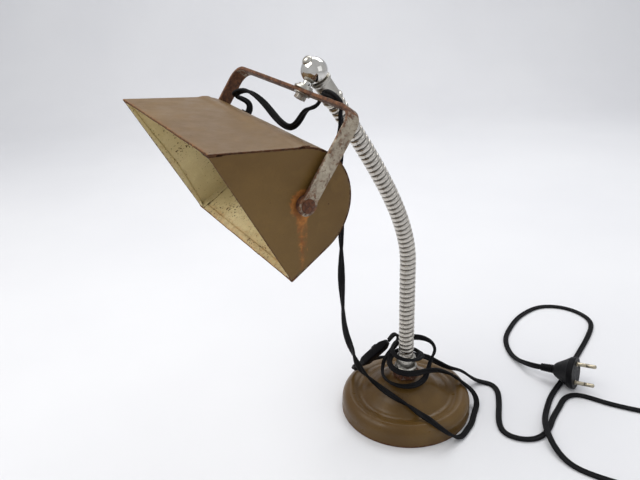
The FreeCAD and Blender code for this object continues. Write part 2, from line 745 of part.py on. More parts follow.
# cap with a contact button, and the glass envelope above it
cap_low = floor + 3.3
cap_top = cap_low + 24.0
turning("bulb_cap", HOLDER, [
    (0, cap_low), (3.2, cap_low), (6.0, cap_low + 1.2), (9.0, cap_low + 3.0),
    (cap, cap_low + 6.0), (cap, cap_top), (0, cap_top)])
glass_neck = cap - 1.2
swell = glass_neck + 2.2
bulb_centre = cap_low + size("bulb_length") - bulb
turning("bulb_glass", HOLDER, [
    (0, cap_top + 0.02), (glass_neck, cap_top + 0.02),
    (swell, bulb_centre - other_leg(bulb, swell)), (0, bulb_centre + bulb)],
    {2: (bulb, bulb_centre)})

# ---------------------------------------------------------------- flex
flex = size("flex_half")


def spline_through(points):
    curve = Part.BSplineCurve()
    curve.interpolate([Vector(p) for p in points])
    return curve


def thinned(points, slack):
    """The fewest of these points that keep every one of them within slack of the chain."""
    if len(points) < 3:
        return list(points)
    start, end = points[0], points[-1]
    chord = end - start
    worst, at = 0.0, 0
    for i in range(1, len(points) - 1):
        distance = chord.cross(points[i] - start).Length / max(chord.Length, 1e-9)
        if distance > worst:
            worst, at = distance, i
    if worst <= slack:
        return [start, end]
    return thinned(points[:at + 1], slack)[:-1] + thinned(points[at:], slack)


def run_of_flex(label, points):
    """A length of flex: short straight lengths with mitred joins along a smooth path."""
    curve = spline_through(points)
    first, last = curve.FirstParameter, curve.LastParameter
    count = max(12, int(curve.length(first, last) / 1.5))
    fine = [curve.value(first + (last - first) * i / count) for i in range(count + 1)]
    chain = thinned(fine, 0.22)
    spine = doc.addObject("Part::Feature", label + "_path")
    spine.Shape = Part.makePolygon(chain)
    section = doc.addObject("Part::Circle", label + "_ring")
    section.Radius = number(flex)
    bind(section, "Radius", flex)
    turn = FreeCAD.Rotation(Vector(0, 0, 1), chain[1] - chain[0])
    section.Placement = FreeCAD.Placement(chain[0], turn)
    sweep = doc.addObject("Part::Sweep", label)
    sweep.Sections = [section]
    sweep.Spine = (spine, ["Edge%d" % i for i in range(1, len(chain))])
    sweep.Solid = True
    sweep.Frenet = False
    sweep.Transition = "Right corner"
    PIECES.append(sweep)


def stations(curve, start, end, first_step=0.0):
    """Points about 6 mm apart; first_step is the share of a step left off at the start."""
    count = max(8, int(curve.length(start, end) / 6.0))
    steps = [first_step] + list(range(1, count + 1))
    return [curve.value(start + (end - start) * step / count) for step in steps]


def on_bracket(along, across, rise):
    """A point from the pivots: along LONG, square to the strap's plane, and along ARM."""
    return BRACKET.multVec(Vector(along, -across, rise))


def on_shade(angle, along, inset):
    """A point by its angle round the back curve, its place along LONG, and its inset."""
    x, y = on_back(angle, inset)
    return SHADE.multVec(Vector(x, y, -along))


# grommet lining the flex hole
grommet_bore = flex + 0.35
turning("flex_grommet", HOLE, [
    (grommet_bore, BACK_RADIUS - 3.0), (5.8, BACK_RADIUS - 3.0),
    (5.8, BACK_RADIUS - GAUGE - 0.5), (4.1, BACK_RADIUS - GAUGE - 0.5),
    (4.1, BACK_RADIUS + 0.3), (5.8, BACK_RADIUS + 0.3),
    (5.8, BACK_RADIUS + 1.8), (grommet_bore, BACK_RADIUS + 1.8)])

# The tables below list the points (x, y, z) that each path passes through.
# from inside the shade, out of the grommet and up to the bar
run_of_flex("flex_head", [
    on_shade(GROMMET_ANGLE, GROMMET_ALONG, 10), on_shade(GROMMET_ANGLE, GROMMET_ALONG, 4),
    on_shade(GROMMET_ANGLE, GROMMET_ALONG, -3), on_shade(104, 65, -9.5),
    (-145.7, 11.7, 320.7), (-139.7, 5.7, 325.0), (-129.8, -4.1, 324.9), (-119.2, -14.7, 317.8),
    (-107.5, -26.3, 306.0), (-99.6, -34.2, 303.2), (-91.2, -42.5, 311.2), (-84.7, -49.0, 320.0),
    on_bracket(-25.0, 10.2, 65.8)])

# over the top of the bar
run_of_flex("flex_saddle", [on_bracket(*p) for p in [
    (-25.6, 10.2, 67.2), (-28.5, 8.4, 72.6), (-34.0, 5.2, 74.9), (-41.0, 3.6, 75.6),
    (-48.0, 4.6, 75.0), (-53.2, 8.3, 72.4), (-55.2, 10.1, 67.6)]])

# hanging strand, then over the foot to the floor and back up over the shell
STRAND = [
    on_bracket(-55.5, 10.3, 66.2), (-61.6, -80.9, 317.0), (-62.2, -80.8, 308.0),
    (-63.2, -81.0, 290.0), (-64.1, -80.5, 254.3), (-64.0, -80.5, 229.7), (-64.5, -78.5, 198.6),
    (-63.9, -72.0, 158.2), (-62.8, -66.0, 139.8), (-60.2, -58.0, 121.4), (-56.5, -49.0, 103.5),
    (-53.4, -40.0, 87.5), (-49.3, -31.0, 72.0), (-43.7, -23.0, 57.5), (-35.6, -17.5, 43.8),
    (-25.5, -17.5, 33.2), (-12.5, -29.3, 29.8), (-0.1, -38.0, 25.8), (9.5, -47.0, 22.9),
    (15.0, -54.0, 23.4), (21.0, -59.6, 21.3), (28.5, -61.6, 15.5), (36.5, -59.5, 8.0),
    (44.5, -55.5, 3.2), (53.0, -45.8, 2.3), (60.5, -34.8, 2.3), (66.3, -21.5, 2.5),
    (70.6, -12.0, 5.8), (69.4, -5.2, 11.8), (63.0, -1.2, 18.8), (50.0, 4.0, 28.5)]
STRAND_CUTS = [306.0, 248.0, 194.0, 136.0, 80.0]   # heights at which the strand is divided
STRAND_LABELS = ["flex_drop", "flex_hang_1", "flex_hang_2", "flex_hang_3", "flex_hang_4",
                 "flex_foot"]
SEARCH_STEPS = 4000

strand = spline_through(STRAND)
first, last = strand.FirstParameter, strand.LastParameter
search = [first + (last - first) * i / SEARCH_STEPS for i in range(SEARCH_STEPS)]
ends = [first]
for height in STRAND_CUTS:
    ends.append(next(place for place in search if strand.value(place).z < height))
ends.append(last)
for i, label in enumerate(STRAND_LABELS):
    # all but the first start a little late, clear of the length before
    run_of_flex(label, stations(strand, ends[i], ends[i + 1], 0.06 if i else 0.0))

# wound round the foot of the neck and into the switch
run_of_flex("flex_wound", [
    (49.0, 3.6, 29.6), (43.0, 2.0, 34.0), (33.0, -2.5, 41.0), (20.0, -9.5, 46.5),
    (6.0, -15.5, 48.5), (-8.0, -14.0, 49.8), (-16.0, -4.0, 51.2), (-14.0, 8.0, 53.0),
    (-4.0, 15.0, 55.0), (8.0, 13.5, 57.0), (15.0, 4.0, 59.0), (13.0, -7.0, 61.0),
    (3.0, -14.0, 63.0), (-8.0, -12.0, 65.0), (-14.0, -2.0, 67.0), (-10.0, 8.0, 69.0),
    (0.0, 13.0, 71.0), (10.0, 11.0, 73.0), (19.0, 7.0, 73.5), (26.0, 4.0, 70.0),
    (29.0, 3.0, 62.0), (27.0, 3.5, 54.0), (24.0, 1.0, 47.0), (21.0, -5.0, 42.3),
    (16.0, -14.0, 40.0), (7.0, -20.8, 39.0), (-5.0, -22.2, 38.8), (-17.0, -15.5, 38.8),
    (-23.0, -4.0, 39.2), (-22.5, 6.5, 41.0), (-19.0, 16.5, 44.5), (-11.0, 24.0, 50.5),
    (-5.0, 25.0, 59.0), (-5.5, 22.5, 68.0), (-10.0, 19.2, 71.5), (-13.6, 18.0, 68.2),
    (-15.3, 18.0, 65.9)])

# out of the switch, over the foot and across the floor to the plug
TAIL = [
    (-44.4, 20.1, 35.0), (-48.0, 21.5, 30.8), (-50.5, 26.0, 27.0), (-48.5, 32.0, 25.5),
    (-41.0, 36.5, 26.5), (-30.0, 38.0, 29.5), (-16.0, 35.5, 33.5), (0.0, 32.0, 37.5),
    (14.0, 27.0, 40.5), (26.0, 20.0, 41.0), (36.0, 15.0, 37.5), (47.0, 13.5, 32.0),
    (58.0, 17.5, 25.5), (68.0, 23.0, 15.5), (76.0, 26.0, 7.5), (84.5, 26.5, 3.0),
    (94.3, 22.0, 2.2), (98.0, 11.4, 2.2), (96.5, -0.5, 2.2), (93.0, -14.0, 2.2),
    (87.4, -34.3, 2.2), (88.4, -51.3, 2.2), (100.0, -60.1, 2.2), (114.0, -61.0, 2.2),
    (126.8, -53.7, 2.2), (140.0, -35.0, 2.2), (153.9, -16.4, 2.2), (164.0, -5.0, 2.2),
    (172.7, -1.5, 2.2), (196.0, -12.0, 2.2), (228.4, -29.1, 2.2), (256.0, -46.0, 2.2),
    (266.0, -80.0, 2.2), (243.0, -118.0, 2.2), (205.0, -132.0, 2.2), (175.0, -123.0, 2.2),
    (153.1, -111.0, 2.2), (134.0, -94.0, 2.6), (127.0, -76.0, 5.2), (126.4, -57.0, 6.8),
    (130.0, -41.0, 5.4), (138.5, -22.0, 3.0), (150.0, -2.0, 2.2), (167.0, 19.0, 2.2),
    (186.0, 43.0, 2.2), (208.0, 72.0, 2.2), (236.0, 111.0, 2.2), (246.0, 136.0, 2.2),
    (238.0, 158.0, 2.2), (219.0, 171.5, 2.2), (198.0, 173.0, 2.2), (178.0, 163.0, 2.2),
    (162.0, 149.0, 2.2), (147.6, 130.0, 2.2), (134.0, 104.0, 2.2), (131.0, 84.0, 2.4),
    (132.5, 67.0, 3.6), (138.0, 52.0, 6.5), (146.0, 37.8, 11.0), (150.0, 34.7, 11.8)]
# (label, start, end) of each length, as shares of the curve's parameter range
TAIL_LENGTHS = [
    ("flex_tail", 0.0, 0.26), ("flex_floor", 0.2612, 0.56), ("flex_lead", 0.5612, 1.0)]

tail = spline_through(TAIL)
first, last = tail.FirstParameter, tail.LastParameter
for label, start, end in TAIL_LENGTHS:
    run_of_flex(label, stations(tail, first + (last - first) * start,
                                first + (last - first) * end))

# ---------------------------------------------------------------- in-line switch
SWITCH_IN, SWITCH_OUT = Vector(-16.5, 18.0, 64.5), Vector(-43.0, 20.0, 36.5)
switch_run = SWITCH_OUT - SWITCH_IN
switch_x = unit(*switch_run)
SWITCH = frame(switch_x, square_to(switch_x, Vector(-1, 1.2, 0.6)),
               (SWITCH_IN + SWITCH_OUT) * 0.5)


def switch_body():
    """Case with tapered ends and a slot in its upper face."""
    half = switch_run.Length / 2 - 0.2
    edge = [(-half, 3.2), (-half + 7, 6.6), (-6, 7.6), (6, 7.6), (half - 7, 6.6), (half, 3.2)]
    body = new_body("switch_body", SWITCH)
    sketch = new_sketch(body, "switch_outline", "XY_Plane")
    outline(sketch, [(x, -y) for x, y in edge] + edge[::-1])
    pad(body, sketch, 9.0, "switch_case", symmetric=True)
    sketch = new_sketch(body, "switch_slot", "XY_Plane", 3.5)
    outline(sketch, rectangle(-7.5, 7.5, -2.6, 2.6))
    recess = new_feature(body, "Pocket", sketch, "switch_recess")
    recess.Length = 3.0
    recess.Reversed = True


def switch_button():
    body = new_body("switch_button", SWITCH)
    sketch = new_sketch(body, "button_outline", "XY_Plane", 3.6)
    outline(sketch, rectangle(-7.3, -1.3, -2.4, 2.4))
    pad(body, sketch, 2.6, "button_pad")


switch_body()
switch_button()

# ---------------------------------------------------------------- plug
# the pins point along Z of the plug frame, from its face, and are spaced along Y
PLUG_FACE = Vector(179.56, 13.13, 17.9)
pin_way = unit(0.79869, -0.58199, 0.15290)
pin_row = square_to(pin_way, Vector(0.22486, 0.52436, 0.82127))
PLUG = frame(pin_row.cross(pin_way), pin_way, PLUG_FACE)

# round body with a cable sleeve and a rim
plug, plug_end = size("plug_radius"), -size("plug_length")
turning("plug_body", PLUG, [
    (0, 0), (0, plug_end), (4.0, plug_end), (4.6, plug_end + 13.0), (7.5, plug_end + 16.0),
    (plug - 2.2, -7.0), (plug - 1.0, -6.0), (plug - 0.1, -0.8), (plug - 0.9, 0)])

pin, pin_tip = size("pin_radius"), size("pin_length")
for name, side in (("upper", 1), ("lower", -1)):
    axis = shifted(PLUG, 0, side * SIZES["pin_pitch"] / 2, 0)
    turning("plug_pin_" + name, axis, [
        (0, 0.02), (pin, 0.02), (pin, pin_tip - 0.8), (pin - 0.8, pin_tip), (0, pin_tip)])

# ---------------------------------------------------------------- check and write
doc.recompute()
problems = ["%s: %s" % (o.Name, o.State) for o in doc.Objects
            if "Invalid" in o.State or "Error" in o.State]
for piece in PIECES:
    shape = piece.Shape
    if shape.isNull() or not shape.isValid() or len(shape.Solids) != 1:
        problems.append("%s: not one valid solid" % piece.Label)
if problems:
    raise RuntimeError("unsound pieces:\n" + "\n".join(problems))

os.makedirs("parts", exist_ok=True)
for piece in PIECES:
    piece.Shape.exportStep("parts/%s.step" % piece.Label)
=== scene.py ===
"""A desk lamp: a round enamelled foot, a bent metal hose, a ball swivel, a strap bracket and a
trough-shaped shade, with its twin flex, in-line switch and plug lying round the foot.

Lengths are millimetres until a mesh is built. The origin is the centre of the foot's underside,
+Z is up, and the neck bends towards OUT. Radial profiles are lists of (radius, height)."""
import bpy, bmesh, math
import numpy as np
from mathutils import Vector, Matrix


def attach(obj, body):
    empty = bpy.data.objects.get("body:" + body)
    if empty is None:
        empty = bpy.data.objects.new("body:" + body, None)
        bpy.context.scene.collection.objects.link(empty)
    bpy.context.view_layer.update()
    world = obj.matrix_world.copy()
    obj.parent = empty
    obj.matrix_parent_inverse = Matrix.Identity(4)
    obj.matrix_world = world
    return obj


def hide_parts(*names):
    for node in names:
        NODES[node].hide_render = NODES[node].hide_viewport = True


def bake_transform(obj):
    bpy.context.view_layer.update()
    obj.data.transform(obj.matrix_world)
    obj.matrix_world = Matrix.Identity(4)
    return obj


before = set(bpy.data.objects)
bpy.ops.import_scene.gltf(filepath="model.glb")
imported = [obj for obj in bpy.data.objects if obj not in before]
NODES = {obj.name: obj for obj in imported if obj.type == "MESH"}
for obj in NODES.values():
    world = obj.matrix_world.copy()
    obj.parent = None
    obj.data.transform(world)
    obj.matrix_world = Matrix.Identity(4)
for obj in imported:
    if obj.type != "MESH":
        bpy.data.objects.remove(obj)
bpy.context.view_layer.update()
MM = 0.001


def unit(v):
    v = np.array(v, float)
    return v / np.linalg.norm(v)


# ------------------------------------------------------------------ directions and main places
OUT = unit((-0.86762, -0.49723, 0))                # the way the neck bends
UP = np.array((0, 0, 1.0))
SIDE = np.cross(UP, OUT)
LONG = unit((-0.529, 0.8472, 0.0498))              # along the shade, near end to far end
DOWN = np.array((0.3618, 0.2782, -0.8898))         # across the shade's opening
DOWN = unit(DOWN - LONG * LONG.dot(DOWN))
DEEP = np.cross(DOWN, LONG)                        # from the opening into the shade
TILT = math.radians(27.386)                        # bracket against shade
ARM = DOWN * (-math.sin(TILT)) + DEEP * math.cos(TILT)   # along the bracket's legs, to its bar
WAY = np.cross(LONG, ARM)                          # across the strap's width
HALF_SHADE = 80.0
BALL_TO_BAR = 17.4                                 # ball centre to the middle of the bar's thickness
ARM_REACH = 69.7                                   # pivots to the bar
BALL = OUT * 90.86 + UP * 347.28
PIVOT = BALL - ARM * BALL_TO_BAR + LONG * 16.0 - ARM * ARM_REACH
LEAN = math.radians(33.9)
CUP_AXIS = OUT * math.sin(LEAN) + UP * math.cos(LEAN)
PLAY = 0.05                                        # clearance between moving parts


def on_bracket(along, across, up):
    return PIVOT + LONG * along + WAY * across + ARM * up


def in_shade(down, deep, along):
    return PIVOT + DOWN * down + DEEP * deep + LONG * along


# ------------------------------------------------------------------ material tools
class Mat:
    """A Principled material with textures in object coordinates. Texture scales are per metre."""
    SOCKETS = {"color": "Base Color", "rough": "Roughness", "metal": "Metallic",
               "normal": "Normal", "coat": "Coat Weight", "sheen": "Sheen Weight",
               "spec": "Specular IOR Level", "sss": "Subsurface Weight"}

    def __init__(self, name):
        self.mat = bpy.data.materials.new(name)
        self.mat.use_nodes = True
        self.tree = self.mat.node_tree
        self.tree.nodes.clear()
        out = self.node("OutputMaterial")
        self.bsdf = self.node("BsdfPrincipled")
        self.tree.links.new(self.bsdf.outputs[0], out.inputs[0])
        self.coords = self.node("TexCoord").outputs["Object"]

    def node(self, kind, inputs=None, **settings):
        made = self.tree.nodes.new("ShaderNode" + kind)
        for key, value in settings.items():
            setattr(made, key, value)
        for socket, value in (inputs or {}).items():
            self.put(made.inputs[socket], value)
        return made

    def put(self, socket, value):
        if isinstance(value, bpy.types.NodeSocket):
            self.tree.links.new(value, socket)
        elif socket.type == "RGBA":
            socket.default_value = (*value, 1.0)
        else:
            socket.default_value = value

    def set(self, **values):
        for key, value in values.items():
            self.put(self.bsdf.inputs[self.SOCKETS[key]], value)
        return self.mat

    def noise(self, scale, detail=4.0, rough=0.55, warp=0.0, coords=None):
        return self.node("TexNoise", {"Vector": coords or self.coords, "Scale": scale,
                                      "Detail": detail, "Roughness": rough,
                                      "Distortion": warp}).outputs[0]

    def wave(self, scale, warp, direction):
        return self.node("TexWave", {"Vector": self.coords, "Scale": scale, "Distortion": warp},
                         bands_direction=direction).outputs["Fac"]

    def stretched(self, scale):
        return self.node("Mapping", {"Vector": self.coords, "Scale": scale}).outputs[0]

    def range(self, fac, band, to=(0.0, 1.0)):
        """Maps the band of fac to the range given by to."""
        return self.node("MapRange", dict(enumerate((fac, *band, *to)))).outputs[0]

    def spots(self, band, to=(0.0, 1.0), **noise):
        return self.range(self.noise(**noise), band, to)

    def calc(self, operation, a, b, clamp=False):
        return self.node("Math", {0: a, 1: b}, operation=operation, use_clamp=clamp).outputs[0]

    def add(self, a, b, clamp=False):
        return self.calc("ADD", a, b, clamp)

    def sub(self, a, b):
        return self.calc("SUBTRACT", a, b)

    def mul(self, a, by):
        return self.calc("MULTIPLY", a, by)

    def larger(self, a, b):
        return self.calc("MAXIMUM", a, b)

    def centred(self, gain, **noise):
        """Noise that swings about zero."""
        return self.mul(self.sub(self.noise(**noise), 0.5), by=gain)

    def mix(self, fac, a, b):
        return self.node("Mix", {0: fac, 6: a, 7: b}, data_type="RGBA").outputs[2]

    def blend(self, fac, low, high):
        return self.node("Mix", {0: fac, 2: low, 3: high}).outputs[0]

    def attr(self, name):
        return self.node("Attribute", attribute_name=name).outputs["Fac"]

    def bump(self, height, strength, depth):
        return self.node("Bump", {"Height": height, "Strength": strength,
                                  "Distance": depth}).outputs[0]


def tint(colour, factor):
    return tuple(min(1, c * factor) for c in colour)


# ------------------------------------------------------------------ materials
def enamel(name, dark, light, specks, rough, soaked=0.62, stained=0.9):
    """Old stove enamel: uneven colour, fine grime, and rusty chips that grow towards edges."""
    edge_brown, soaked_orange = (0.085, 0.04, 0.02), (0.30, 0.115, 0.022)
    stain_pair = (0.50, 0.19, 0.040), (0.18, 0.055, 0.015)
    rust_pair = (0.042, 0.017, 0.008), (0.125, 0.048, 0.017)
    mat = Mat(name)
    edge, rusty = mat.attr("edge"), mat.attr("rust")

    col = mat.mix(mat.spots(scale=14, detail=3, rough=0.5, band=(0.35, 0.65)), dark, light)
    grime = mat.spots(scale=900, detail=3, rough=0.6, band=(0.3, 0.75), to=(0.0, 0.22))
    col = mat.mix(grime, col, tint(dark, 0.55))
    cloud = mat.spots(scale=60, detail=5, rough=0.65, warp=0.6, band=(0.5, 0.8), to=(0.0, 0.30))
    col = mat.mix(cloud, col, tint(light, 1.45))

    chips = mat.add(mat.mul(edge, by=0.72),
                    mat.centred(gain=1.5, scale=330, detail=6, rough=0.7, warp=0.4))
    chips = mat.range(chips, band=(0.44, 0.56))
    dots = mat.add(mat.noise(scale=520, rough=0.6),
                   mat.mul(mat.noise(scale=38, detail=3, rough=0.6), by=0.42))
    dots = mat.range(dots, band=(0.965 - specks, 0.995 - specks))
    stain = mat.add(mat.mul(rusty, by=1.35),
                    mat.centred(gain=1.9, scale=210, detail=6, rough=0.72, warp=0.8))
    stain = mat.range(stain, band=(0.34, 0.80))
    soak = mat.mul(mat.range(rusty, band=(0.12, 0.9), to=(0.0, soaked)),
                   by=mat.spots(scale=120, rough=0.6, band=(0.25, 0.6), to=(0.45, 1.0)))
    bare = mat.larger(chips, dots)

    rust = mat.mix(mat.spots(scale=420, detail=5, rough=0.7, band=(0.35, 0.65)), *rust_pair)
    col = mat.mix(mat.mul(mat.range(edge, band=(0.15, 1.0)), by=0.45), col, edge_brown)
    stain_col = mat.mix(mat.spots(scale=160, band=(0.4, 0.6)), *stain_pair)
    col = mat.mix(mat.mul(stain, by=stained), col, stain_col)
    col = mat.mix(soak, col, soaked_orange)
    col = mat.mix(bare, col, rust)

    gloss = mat.spots(scale=75, rough=0.6, band=(0.3, 0.7), to=rough)
    gloss = mat.blend(bare, low=gloss, high=0.88)
    gloss = mat.blend(mat.mul(stain, by=0.8), low=gloss, high=0.75)
    relief = mat.sub(mat.mul(mat.noise(scale=260, detail=3, rough=0.5), by=0.25),
                     mat.mul(bare, by=0.5))
    pitting = mat.mul(mat.mul(bare, by=mat.noise(scale=1500, detail=3)), by=0.7)
    return mat.set(color=col, rough=gloss, spec=0.30,
                   normal=mat.bump(mat.add(relief, pitting), strength=0.55, depth=0.0004))


def worn_paint():
    paint_pair = (0.25, 0.205, 0.15), (0.48, 0.42, 0.32)
    rust_pair = (0.060, 0.024, 0.014), (0.20, 0.085, 0.035)
    speck_brown = (0.10, 0.045, 0.02)
    mat = Mat("bracket_worn")
    col = mat.mix(mat.spots(scale=90, detail=5, rough=0.65, warp=0.7, band=(0.35, 0.66)),
                  *paint_pair)
    worn = mat.add(mat.mul(mat.attr("rust"), by=0.9), mat.mul(mat.attr("edge"), by=0.46))
    patch = mat.add(worn, mat.centred(gain=1.4, scale=240, detail=6, rough=0.7, warp=0.5))
    patch = mat.range(patch, band=(0.40, 0.62))
    rust = mat.mix(mat.spots(scale=300, detail=5, rough=0.7, band=(0.38, 0.62)), *rust_pair)
    col = mat.mix(patch, col, rust)
    specks = mat.spots(scale=560, rough=0.6, band=(0.60, 0.66))
    col = mat.mix(mat.mul(specks, by=0.8), col, speck_brown)
    relief = mat.add(mat.mul(patch, by=0.4), mat.mul(mat.noise(scale=1100), by=0.5))
    return mat.set(color=col, rough=mat.blend(patch, low=0.45, high=0.82),
                   metal=mat.blend(patch, low=0.35, high=0.05),
                   normal=mat.bump(relief, strength=0.5, depth=0.0004))


def nickel(name, base, rough, grime):
    groove_dark, pit_dirt = (0.045, 0.04, 0.034), (0.12, 0.09, 0.06)
    mat = Mat(name)
    col = mat.mix(mat.spots(scale=130, detail=5, rough=0.62, band=(0.3, 0.7)),
                  base, tint(base, 0.78))
    # The grooves go darker and less metallic towards their bottom, by groove depth.
    groove = mat.attr("groove")
    col = mat.mix(mat.mul(groove, by=0.88), col, groove_dark)
    pits = mat.spots(scale=620, rough=0.65, band=(0.62, 0.70))
    col = mat.mix(mat.mul(pits, by=grime), col, pit_dirt)
    gloss = mat.spots(scale=300, detail=3, band=(0.3, 0.7), to=(rough, rough + 0.14))
    dull = mat.mul(mat.larger(groove, mat.mul(pits, by=grime)), by=0.4)
    relief = mat.sub(mat.mul(mat.noise(scale=800, detail=2), by=0.3),
                     mat.mul(pits, by=0.6 * grime))
    return mat.set(color=col, rough=mat.add(gloss, dull, clamp=True),
                   metal=mat.sub(1.0, mat.mul(groove, by=0.6)),
                   normal=mat.bump(relief, strength=0.25, depth=0.0003))


def chrome():
    bright, dull, pit_brown = (0.70, 0.69, 0.66), (0.52, 0.50, 0.46), (0.16, 0.11, 0.07)
    mat = Mat("chrome_pitted")
    cloud = mat.noise(scale=95, rough=0.6)
    col = mat.mix(mat.range(cloud, band=(0.35, 0.75)), bright, dull)
    pits = mat.spots(scale=780, rough=0.6, band=(0.67, 0.71))
    col = mat.mix(mat.mul(pits, by=0.7), col, pit_brown)
    gloss = mat.range(cloud, band=(0.3, 0.8), to=(0.05, 0.15))
    return mat.set(color=col, rough=mat.add(gloss, mat.mul(pits, by=0.4)), metal=1.0,
                   normal=mat.bump(mat.mul(pits, by=-1.0), strength=0.3, depth=0.0002))


def rusty_steel(name, amount):
    steel_pair = (0.28, 0.25, 0.21), (0.44, 0.40, 0.35)
    rust_pair = (0.045, 0.017, 0.009), (0.15, 0.052, 0.020)
    mat = Mat(name)
    steel = mat.mix(mat.spots(scale=420, band=(0.35, 0.65)), *steel_pair)
    patch = mat.spots(scale=260, detail=6, rough=0.7, warp=0.5,
                      band=(0.62 - amount * 0.3, 0.72 - amount * 0.3))
    rust = mat.mix(mat.spots(scale=520, detail=5, rough=0.7, band=(0.36, 0.64)), *rust_pair)
    relief = mat.add(mat.mul(mat.noise(scale=1300, rough=0.7), by=0.6), mat.mul(patch, by=0.3))
    return mat.set(color=mat.mix(patch, steel, rust), rough=mat.blend(patch, low=0.36, high=0.86),
                   metal=mat.blend(patch, low=0.9, high=0.05),
                   normal=mat.bump(relief, strength=0.6, depth=0.0004))


def plastic(name, base, rough, dust):
    dust_grey, scuff_grey = (0.115, 0.105, 0.095), (0.05, 0.05, 0.05)
    mat = Mat(name)
    scuff = mat.noise(scale=240, detail=5, rough=0.65, warp=1.2)
    dusty = mat.spots(scale=70, detail=5, rough=0.6, band=(0.45, 0.8), to=(0.0, dust))
    col = mat.mix(dusty, base, dust_grey)
    col = mat.mix(mat.range(scuff, band=(0.64, 0.74), to=(0.0, 0.18)), col, scuff_grey)
    relief = mat.add(mat.mul(mat.noise(scale=1600, detail=2), by=0.25), mat.mul(scuff, by=0.3))
    return mat.set(color=col, spec=0.10,
                   rough=mat.range(scuff, band=(0.3, 0.75), to=(rough, rough + 0.25)),
                   normal=mat.bump(relief, strength=0.3, depth=0.0003))


def brass(name, base):
    mat = Mat(name)
    cloud = mat.noise(scale=330, detail=5, rough=0.65)
    scratch = mat.noise(scale=300, rough=0.6, coords=mat.stretched(scale=(1, 14, 1)))
    return mat.set(color=mat.mix(mat.range(cloud, band=(0.35, 0.7)), base, tint(base, 0.6)),
                   rough=mat.range(cloud, band=(0.3, 0.75), to=(0.2, 0.45)), metal=1.0,
                   normal=mat.bump(scratch, strength=0.25, depth=0.0002))


def cast_iron():
    iron_pair = (0.045, 0.042, 0.040), (0.10, 0.085, 0.075)
    mat = Mat("cast_iron")
    grain = mat.noise(scale=520, detail=6, rough=0.7)
    return mat.set(color=mat.mix(mat.range(grain, band=(0.35, 0.65)), *iron_pair), rough=0.78,
                   metal=0.5, normal=mat.bump(grain, strength=0.8, depth=0.0008))


def green_felt():
    green_pair = (0.020, 0.034, 0.018), (0.062, 0.085, 0.045)
    mat = Mat("felt_green")
    fibre = mat.noise(scale=2200, detail=5, rough=0.8, warp=2.0)
    return mat.set(color=mat.mix(mat.range(fibre, band=(0.3, 0.7)), *green_pair), rough=0.97,
                   sheen=0.6, normal=mat.bump(fibre, strength=1.0, depth=0.0008))


def opal_glass():
    white_pair = (0.86, 0.84, 0.78), (0.93, 0.92, 0.88)
    mat = Mat("opal_glass")
    ripple = mat.noise(scale=900, detail=2)
    return mat.set(color=mat.mix(mat.spots(scale=40, detail=3, band=(0.3, 0.7)), *white_pair),
                   rough=0.22, sss=0.2, coat=0.35,
                   normal=mat.bump(ripple, strength=0.05, depth=0.0001))


BROWN = enamel("enamel_brown", dark=(0.132, 0.070, 0.014), light=(0.168, 0.094, 0.022),
               specks=0.0275, rough=(0.34, 0.5))
BROWN_FOOT = enamel("enamel_foot", dark=(0.086, 0.044, 0.009), light=(0.122, 0.068, 0.017),
                    specks=0.05, rough=(0.26, 0.42))
CREAM = enamel("enamel_cream", dark=(0.58, 0.475, 0.24), light=(0.76, 0.64, 0.37),
               specks=0.135, rough=(0.35, 0.55), soaked=0.08, stained=0.38)
WORN = worn_paint()
NICKEL = nickel("nickel_hose", base=(0.62, 0.585, 0.53), rough=0.17, grime=0.42)
NICKEL_OLD = nickel("nickel_worn", base=(0.55, 0.53, 0.48), rough=0.26, grime=0.9)
CHROME = chrome()
RUSTED = rusty_steel("steel_rusted", amount=1.0)
STEEL = rusty_steel("steel_dull", amount=0.25)
FLEX = plastic("flex_black", base=(0.006, 0.006, 0.007), rough=0.50, dust=0.06)
BLACK = plastic("plastic_black", base=(0.004, 0.004, 0.005), rough=0.38, dust=0.05)
BAKELITE = plastic("holder_black", base=(0.020, 0.014, 0.010), rough=0.28, dust=0.3)
PINS = brass("pin_plated", base=(0.56, 0.50, 0.38))
BRASS = brass("brass_cap", base=(0.60, 0.47, 0.25))
CAST, FELT, GLASS = cast_iron(), green_felt(), opal_glass()


# ------------------------------------------------------------------ mesh tools
def build(name, verts, faces, *mats, index=None, attrs=None, sharp=38.0):
    mesh = bpy.data.meshes.new(name)
    mesh.from_pydata([tuple(v) for v in np.asarray(verts) * MM], [], [tuple(f) for f in faces])
    for mat in mats:
        mesh.materials.append(mat)
    if index is not None:
        mesh.polygons.foreach_set("material_index", np.asarray(index, np.int32))
    for key, values in (attrs or {}).items():
        layer = mesh.attributes.new(key, "FLOAT", "POINT")
        layer.data.foreach_set("value", np.asarray(values, np.float32))
    bm = bmesh.new()
    bm.from_mesh(mesh)
    bmesh.ops.recalc_face_normals(bm, faces=bm.faces)
    bm.to_mesh(mesh)
    bm.free()
    mesh.polygons.foreach_set("use_smooth", [True] * len(mesh.polygons))
    mesh.set_sharp_from_angle(angle=math.radians(sharp))
    mesh.update()
    ob = bpy.data.objects.new(name, mesh)
    bpy.context.scene.collection.objects.link(ob)
    return ob


def register(ob, body, node):
    """Hides the CAD node a piece replaces and attaches the piece to the body it moves with."""
    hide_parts(node)
    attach(ob, body)


def tube(rows, count):
    """Quads joining rows of count vertices, each row a closed ring."""
    return [(i * count + j, i * count + (j + 1) % count,
             (i + 1) * count + (j + 1) % count, (i + 1) * count + j)
            for i in range(rows - 1) for j in range(count)]


def closed_tube(verts, rows, count, centres):
    """A tube with a fan at each end. The two centres are added to verts."""
    faces = tube(rows, count)
    for first, centre in zip((0, (rows - 1) * count), centres):
        hub = len(verts)
        verts.append(centre)
        faces += [(first + j, first + (j + 1) % count, hub) for j in range(count)]
    return faces


